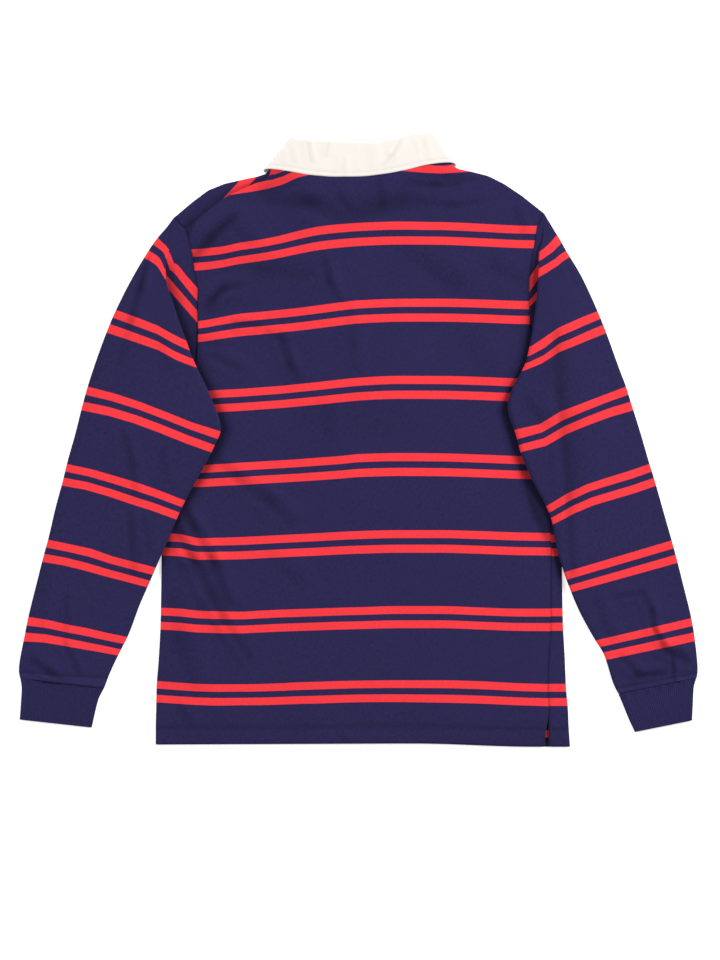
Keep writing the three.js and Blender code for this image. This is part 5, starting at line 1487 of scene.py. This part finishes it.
def jersey_material(look):
    """Knit jersey with pairs of stripes by the cloth's own height."""
    material, tree, shader = finish_material("striped_jersey", sheen=0.03, roughness=0.9)
    place = cloth_place(tree)
    knit = group_node(tree, knit_group(), Across=place["X"], Along=place["Y"])
    wear = group_node(tree, wear_group(), Place=object_place(tree), Amount=JERSEY_WEAR)
    jag = noise(tree, plane(tree, place["X"]), scale=0.5, detail=2.0)
    height = maths(tree, "ADD", place["Y"], maths(tree, "MULTIPLY", jag, STRIPE_JAG))
    mask = group_node(tree, stripe_group(), Height=height, Pitch=STRIPE_PITCH,
                      Band=look.stripe_width / MM, Shift=look.stripe_shift / MM)
    colour = node(tree, "ShaderNodeMix", data_type="RGBA")
    tree.links.new(mask["Mask"], colour.inputs[0])
    colour.inputs[6].default_value = (*look.ground_colour, 1)
    colour.inputs[7].default_value = (*look.stripe_colour, 1)
    varied = maths(tree, "MULTIPLY", mask["Mask"], DARK_FLECKS - RED_FLECKS)
    flecks = maths(tree, "SUBTRACT", DARK_FLECKS, varied)
    yarn = maths(tree, "MULTIPLY", maths(tree, "SUBTRACT", knit["Tone"], 1.0), flecks)
    # Painted shade from the cloth attribute: creases, seam furrows and the sleeves' shadows
    tones = maths(tree, "ADD", yarn, 1.0), wear["Tone"], painted_shade_tone(tree, place, JERSEY_PAINTED_SHADE)
    tree.links.new(tinted(tree, colour.outputs[2], *tones), shader.inputs["Base Color"])
    relief(tree, shader, knit["Height"], distance=0.0004, strength=0.5)
    return material


def rib_material(look):
    """Knit with ribs round the cuff: a sine in its tone and its height."""
    material, tree, shader = finish_material("rib_knit", sheen=0.03, roughness=0.92)
    place = cloth_place(tree)
    knit = group_node(tree, knit_group(), Across=place["X"], Along=place["Y"], Wale=1.55)
    wear = group_node(tree, wear_group(), Place=object_place(tree), Amount=JERSEY_WEAR)
    rib = maths(tree, "SINE", maths(tree, "MULTIPLY", place["X"], 2 * np.pi / RIB))
    shade = maths(tree, "ADD", maths(tree, "MULTIPLY", rib, RIB_TONE), 1.0)
    # Painted shade from the cloth attribute: the pinches by the sleeve
    tones = knit["Tone"], wear["Tone"], shade, painted_shade_tone(tree, place, JERSEY_PAINTED_SHADE)
    ground = plain_colour(tree, look.ground_colour)
    tree.links.new(tinted(tree, ground, *tones), shader.inputs["Base Color"])
    relief(tree, shader, maths(tree, "ADD", knit["Height"], rib), distance=0.0004, strength=0.5)
    return material


def twill_material(look):
    """Off-white twill with its diagonal ribs and creases."""
    material, tree, shader = finish_material("collar_twill", sheen=0.0, roughness=0.85)
    place = cloth_place(tree)
    weave = group_node(tree, twill_group(), Across=place["X"], Along=place["Y"])
    wear = group_node(tree, wear_group(), Place=object_place(tree), Amount=TWILL_WEAR)
    # Painted shade from the cloth attribute: the collar's creases and topstitching
    tones = weave["Tone"], wear["Tone"], painted_shade_tone(tree, place, TWILL_PAINTED_SHADE)
    ground = plain_colour(tree, look.twill_colour)
    tree.links.new(tinted(tree, ground, *tones), shader.inputs["Base Color"])
    relief(tree, shader, weave["Height"], distance=0.0003, strength=0.4)
    return material


def plain_material(name, colour, roughness, wear_amount=JERSEY_WEAR):
    """One colour with slow and fine variation, for threads, tape, rubber and the dark strip painted as the
    vent's shadow.
    """
    material, tree, shader = finish_material(name, sheen=0.0, roughness=roughness)
    wear = group_node(tree, wear_group(), Place=object_place(tree), Amount=wear_amount)
    ground = plain_colour(tree, colour)
    tree.links.new(tinted(tree, ground, wear["Tone"]), shader.inputs["Base Color"])
    grain = noise(tree, object_place(tree), scale=2500.0, detail=2.0)
    relief(tree, shader, grain, distance=0.0001, strength=0.25)
    return material


def shared_material(name, make):
    """The material of a name, made the first time that it is asked for."""
    return bpy.data.materials.get(name) or make()


NAVY_THREAD, WHITE_THREAD = (0.02, 0.016, 0.05), (0.8, 0.78, 0.72)
# A navy darker than the jersey, painted as the shadow in the vent's gap
VENT_SHADOW_COLOUR = (0.012, 0.01, 0.03)


def plain_finish(name, colour, roughness, wear_amount=JERSEY_WEAR):
    """A plain material that several pieces share."""
    return shared_material(name, lambda: plain_material(name, colour, roughness, wear_amount))


def sew(name, grid, rows, columns, sewing, lift, thread):
    """A line of stitches over a grid, straight from the first of its rows and columns to the
    last, as one piece."""
    places = sewing["places"]
    line = stitch_line(grid, np.linspace(*rows, places), np.linspace(*columns, places), sewing, lift)
    stitches = stitch_mesh(name, line, sewing["radius"])
    place_piece(stitches, thread)
    return stitches


def place_piece(piece, material):
    """A piece's material and body."""
    piece.data.materials.append(material)
    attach(piece, "root")


# Settings
class ShirtLook(bpy.types.PropertyGroup):
    """Colours and cloth sizes of the shirt."""
    ground_colour: FloatVectorProperty(
        name="Ground colour", description="Dark blue of the jersey", subtype="COLOR", size=3,
        min=0, max=1, default=(0.0228, 0.0187, 0.0757))
    stripe_colour: FloatVectorProperty(
        name="Stripe colour", description="Red of the stripes", subtype="COLOR", size=3,
        min=0, max=1, default=(0.918, 0.0435, 0.055))
    twill_colour: FloatVectorProperty(
        name="Collar colour", description="Off-white of the collar and placket", subtype="COLOR", size=3,
        min=0, max=1, default=(0.87, 0.822, 0.768))
    button_colour: FloatVectorProperty(
        name="Button colour", description="Off-white of the rubber buttons", subtype="COLOR", size=3,
        min=0, max=1, default=(0.78, 0.76, 0.70))
    stripe_width: FloatProperty(
        name="Stripe width", description="Width of one stripe", unit="LENGTH", default=0.0101)
    stripe_shift: FloatProperty(
        name="Stripe shift", description="From one stripe of a pair to the other", unit="LENGTH",
        default=0.0184)
    cloth_half: FloatProperty(
        name="Half thickness", description="Half the thickness of the jersey", unit="LENGTH",
        default=0.0006)


class ShirtStage(bpy.types.PropertyGroup):
    """Floor, light and camera."""
    floor_colour: FloatVectorProperty(
        name="Floor colour", description="Pale floor under the shirt", subtype="COLOR", size=3,
        min=0, max=1, default=(0.93, 0.93, 0.93))
    camera_height: FloatProperty(
        name="Camera height", description="Height of the camera over the shirt", unit="LENGTH", default=4.0)
    view_height: FloatProperty(
        name="View height", description="Height of the picture at the floor", unit="LENGTH", default=1.2)
    view_x: FloatProperty(name="View X", description="Middle of the picture", unit="LENGTH", default=0.0019)
    view_y: FloatProperty(name="View Y", description="Middle of the picture", unit="LENGTH", default=-0.05)
    sky_strength: FloatProperty(name="Sky strength", description="Even light from all round", default=0.25)
    lamp_power: FloatProperty(
        name="Lamp power", description="Power of the large soft lamp", unit="POWER", default=352.0)


# Pieces
class SHIRT_OT_body(bpy.types.Operator):
    """Makes the front and back panels of striped jersey"""
    bl_idname = "shirt.body"
    bl_label = "Body panels"

    def execute(self, context):
        look = context.scene.shirt_look
        half = look.cloth_half / MM
        jersey = shared_material("striped_jersey", lambda: jersey_material(look))
        thread = plain_finish("navy_thread", NAVY_THREAD, roughness=0.7)
        sizes = {"back": ((0.56, 0.75), 0.336), "front": ((0.56, 0.73), 0.320)}
        for name, (flat, area) in sizes.items():
            is_front = name == "front"
            points, cloth, places = body_panel(is_front)
            if is_front:
                points, cloth = points[:, ::-1], cloth[:, ::-1]
            piece = cloth_shell("cloth_" + name, points, cloth, half)
            place_piece(piece, jersey)
            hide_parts(name)
            hem_row = np.interp(HEM["up"], BODY_ROWS["height"], places[:len(BODY_ROWS["height"])])
            stitches = sew("hem_stitching_" + name, points, (hem_row, hem_row),
                           (1, points.shape[1] - 2), HEM_SEWING, half, thread)
        # A dark strip painted as the shadow in the vent's gap, and a red tack at its end
        dark = plain_finish("vent_shadow_strip", VENT_SHADOW_COLOUR, roughness=0.9)
        red = plain_finish("vent_tack", look.stripe_colour, roughness=0.9)
        for name, box, material in (("vent_shadow_strip", VENT_SHADOW_STRIP, dark), ("vent_tack", VENT_TACK, red)):
            place_piece(box_object(name, box), material)
        return {"FINISHED"}


class SHIRT_OT_sleeves(bpy.types.Operator):
    """Makes the two long sleeves of striped jersey"""
    bl_idname = "shirt.sleeves"
    bl_label = "Sleeves"

    def execute(self, context):
        look = context.scene.shirt_look
        half = look.cloth_half / MM
        jersey = shared_material("striped_jersey", lambda: jersey_material(look))
        thread = plain_finish("navy_thread", NAVY_THREAD, roughness=0.7)
        for side, rows in ((-1, LEFT_SLEEVE), (1, RIGHT_SLEEVE)):
            name = "left" if side < 0 else "right"
            points, cloth = sleeve_grid(rows, side)
            if side > 0:
                points, cloth = points[:, ::-1], cloth[:, ::-1]
            piece = cloth_shell("cloth_sleeve_" + name, points, cloth, half)
            place_piece(piece, jersey)
            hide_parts("sleeve_" + name)
            seam_row = points.shape[0] - 1 - SLEEVE_SEWING["above_cuff"] / SLEEVE_SPACING["rows"]
            stitches = sew("sleeve_stitching_" + name, points, (seam_row, seam_row),
                           (2, points.shape[1] - 3), SLEEVE_SEWING, half, thread)
        return {"FINISHED"}


class SHIRT_OT_cuffs(bpy.types.Operator):
    """Makes the two knitted cuffs"""
    bl_idname = "shirt.cuffs"
    bl_label = "Cuffs"

    def execute(self, context):
        look = context.scene.shirt_look
        rib = shared_material("rib_knit", lambda: rib_material(look))
        for side, rows in ((-1, LEFT_CUFF), (1, RIGHT_CUFF)):
            name = "left" if side < 0 else "right"
            points, cloth = cuff_grid(rows)
            if side > 0:
                points, cloth = points[:, ::-1], cloth[:, ::-1]
            piece = cloth_shell("knit_cuff_" + name, points, cloth, look.cloth_half / MM)
            place_piece(piece, rib)
            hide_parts("cuff_" + name)
        return {"FINISHED"}


COLLAR_HALF = 0.65


class SHIRT_OT_collar(bpy.types.Operator):
    """Makes the folded twill collar with its topstitching"""
    bl_idname = "shirt.collar"
    bl_label = "Collar"

    def execute(self, context):
        look = context.scene.shirt_look
        twill = shared_material("collar_twill", lambda: twill_material(look))
        thread = plain_finish("white_thread", WHITE_THREAD, roughness=0.7)
        points, cloth = collar_grid()
        piece = cloth_shell("twill_collar", points, cloth, COLLAR_HALF)
        place_piece(piece, twill)
        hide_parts("collar")
        edge = points.shape[1] - 1 - COLLAR_STITCH["in"] / COLLAR_SPACING["columns"]
        stitches = sew("collar_stitching", points, (2, points.shape[0] - 3), (edge, edge),
                       COLLAR_SEWING, COLLAR_HALF, thread)
        return {"FINISHED"}


# A button's profile from the middle of its underside to the middle of its top
BUTTON_PROFILE = table("r z", [
    [0.0, 0.55],
    [2.6, 0.55],
    [3.6, 0.5],
    [4.6, 0.12],
    [5.6, 0.0],
    [6.6, 0.05],
    [7.2, 0.35],
    [7.5, 0.9],
    [7.5, 1.6],
    [7.1, 2.1],
    [6.3, 2.4],
    [3.0, 2.4],
    [0.0, 2.4],
])
BUTTON_SIDES = 48


class SHIRT_OT_placket(bpy.types.Operator):
    """Finishes the placket strips and makes the rubber buttons"""
    bl_idname = "shirt.placket"
    bl_label = "Placket and buttons"

    def execute(self, context):
        look = context.scene.shirt_look
        tape = plain_finish("placket_twill", look.twill_colour, 0.85, TWILL_WEAR)
        for name in ("placket_outer", "placket_under"):
            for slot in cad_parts[name].material_slots:
                slot.material = tape
        rubber = plain_finish("button_rubber", look.button_colour, 0.5, TWILL_WEAR)
        for index, y in enumerate(BUTTON_Y):
            piece = turned_solid(f"rubber_button_{index + 1}", BUTTON_PROFILE, BUTTON_SIDES, 0, y)
            place_piece(piece, rubber)
            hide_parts(f"button_{index + 1}")
        return {"FINISHED"}


# Stage, in metres: the floor's size and glow and how far it lies below the shirt, the two
# lamps, and the height of the camera's sensor in millimetres
FLOOR = {"size": 12.0, "below": 0.00005, "glow": 0.56}
LAMPS = {
    "lamp_top": {"place": (4.4, 2.2, 3.0), "power": 1.0, "size": 1.8},
    "lamp_side": {"place": (-4.7, 1.4, 3.0), "power": 0.6, "size": 2.2},
}
SENSOR = 36.0
WHITE = (1, 1, 1, 1)


class SHIRT_OT_stage(bpy.types.Operator):
    """Makes the floor, the light and the camera"""
    bl_idname = "shirt.stage"
    bl_label = "Stage"

    def execute(self, context):
        stage = context.scene.shirt_stage
        scene = context.scene
        corners = np.array([[-1, -1, 0], [1, -1, 0], [1, 1, 0], [-1, 1, 0]]) * FLOOR["size"] / 2
        floor = new_object("floor", (corners - [0, 0, FLOOR["below"]]) / MM, [[0, 1, 2, 3]])
        material, _, shader = finish_material("floor_white", sheen=0.0, roughness=0.8)
        shader.inputs["Base Color"].default_value = (*stage.floor_colour, 1)
        shader.inputs["Emission Color"].default_value = WHITE
        shader.inputs["Emission Strength"].default_value = FLOOR["glow"]
        floor.data.materials.append(material)
        world = bpy.data.worlds.new("studio")
        world.use_nodes = True
        sky = world.node_tree.nodes["Background"]
        sky.inputs["Color"].default_value = WHITE
        sky.inputs["Strength"].default_value = stage.sky_strength
        scene.world = world
        for name, about in LAMPS.items():
            data = bpy.data.lights.new(name, "AREA")
            data.energy, data.size = stage.lamp_power * about["power"], about["size"]
            lamp = bpy.data.objects.new(name, data)
            lamp.location = about["place"]
            lamp.rotation_euler = (-lamp.location).to_track_quat("-Z", "Y").to_euler()
            scene.collection.objects.link(lamp)
        data = bpy.data.cameras.new("camera")
        data.sensor_fit = "VERTICAL"
        data.sensor_height = SENSOR
        data.lens = SENSOR * stage.camera_height / stage.view_height
        camera = bpy.data.objects.new("camera", data)
        camera.location = (stage.view_x, stage.view_y, stage.camera_height)
        scene.collection.objects.link(camera)
        scene.camera = camera
        scene.view_settings.view_transform = "Standard"
        return {"FINISHED"}


class SHIRT_PT_panel(bpy.types.Panel):
    """Lists the shirt's settings and steps"""
    bl_idname = "SHIRT_PT_panel"
    bl_label = "Rugby shirt"
    bl_space_type = "VIEW_3D"
    bl_region_type = "UI"
    bl_category = "Rugby shirt"

    def draw(self, context):
        layout = self.layout
        for group in (context.scene.shirt_look, context.scene.shirt_stage):
            for name in group.__annotations__:
                layout.prop(group, name)
        for step in STEPS:
            layout.operator(step.bl_idname)


STEPS = [SHIRT_OT_body, SHIRT_OT_sleeves, SHIRT_OT_cuffs, SHIRT_OT_collar, SHIRT_OT_placket, SHIRT_OT_stage]
CLASSES = [ShirtLook, ShirtStage, *STEPS, SHIRT_PT_panel]


def register():
    for cls in CLASSES:
        bpy.utils.register_class(cls)
    bpy.types.Scene.shirt_look = PointerProperty(type=ShirtLook)
    bpy.types.Scene.shirt_stage = PointerProperty(type=ShirtStage)


def unregister():
    del bpy.types.Scene.shirt_stage
    del bpy.types.Scene.shirt_look
    for cls in reversed(CLASSES):
        bpy.utils.unregister_class(cls)


def main():
    register()
    bpy.ops.shirt.body()
    bpy.ops.shirt.sleeves()
    bpy.ops.shirt.cuffs()
    bpy.ops.shirt.collar()
    bpy.ops.shirt.placket()
    bpy.ops.shirt.stage()
    bpy.context.view_layer.update()


if __name__ == "__main__":
    main()
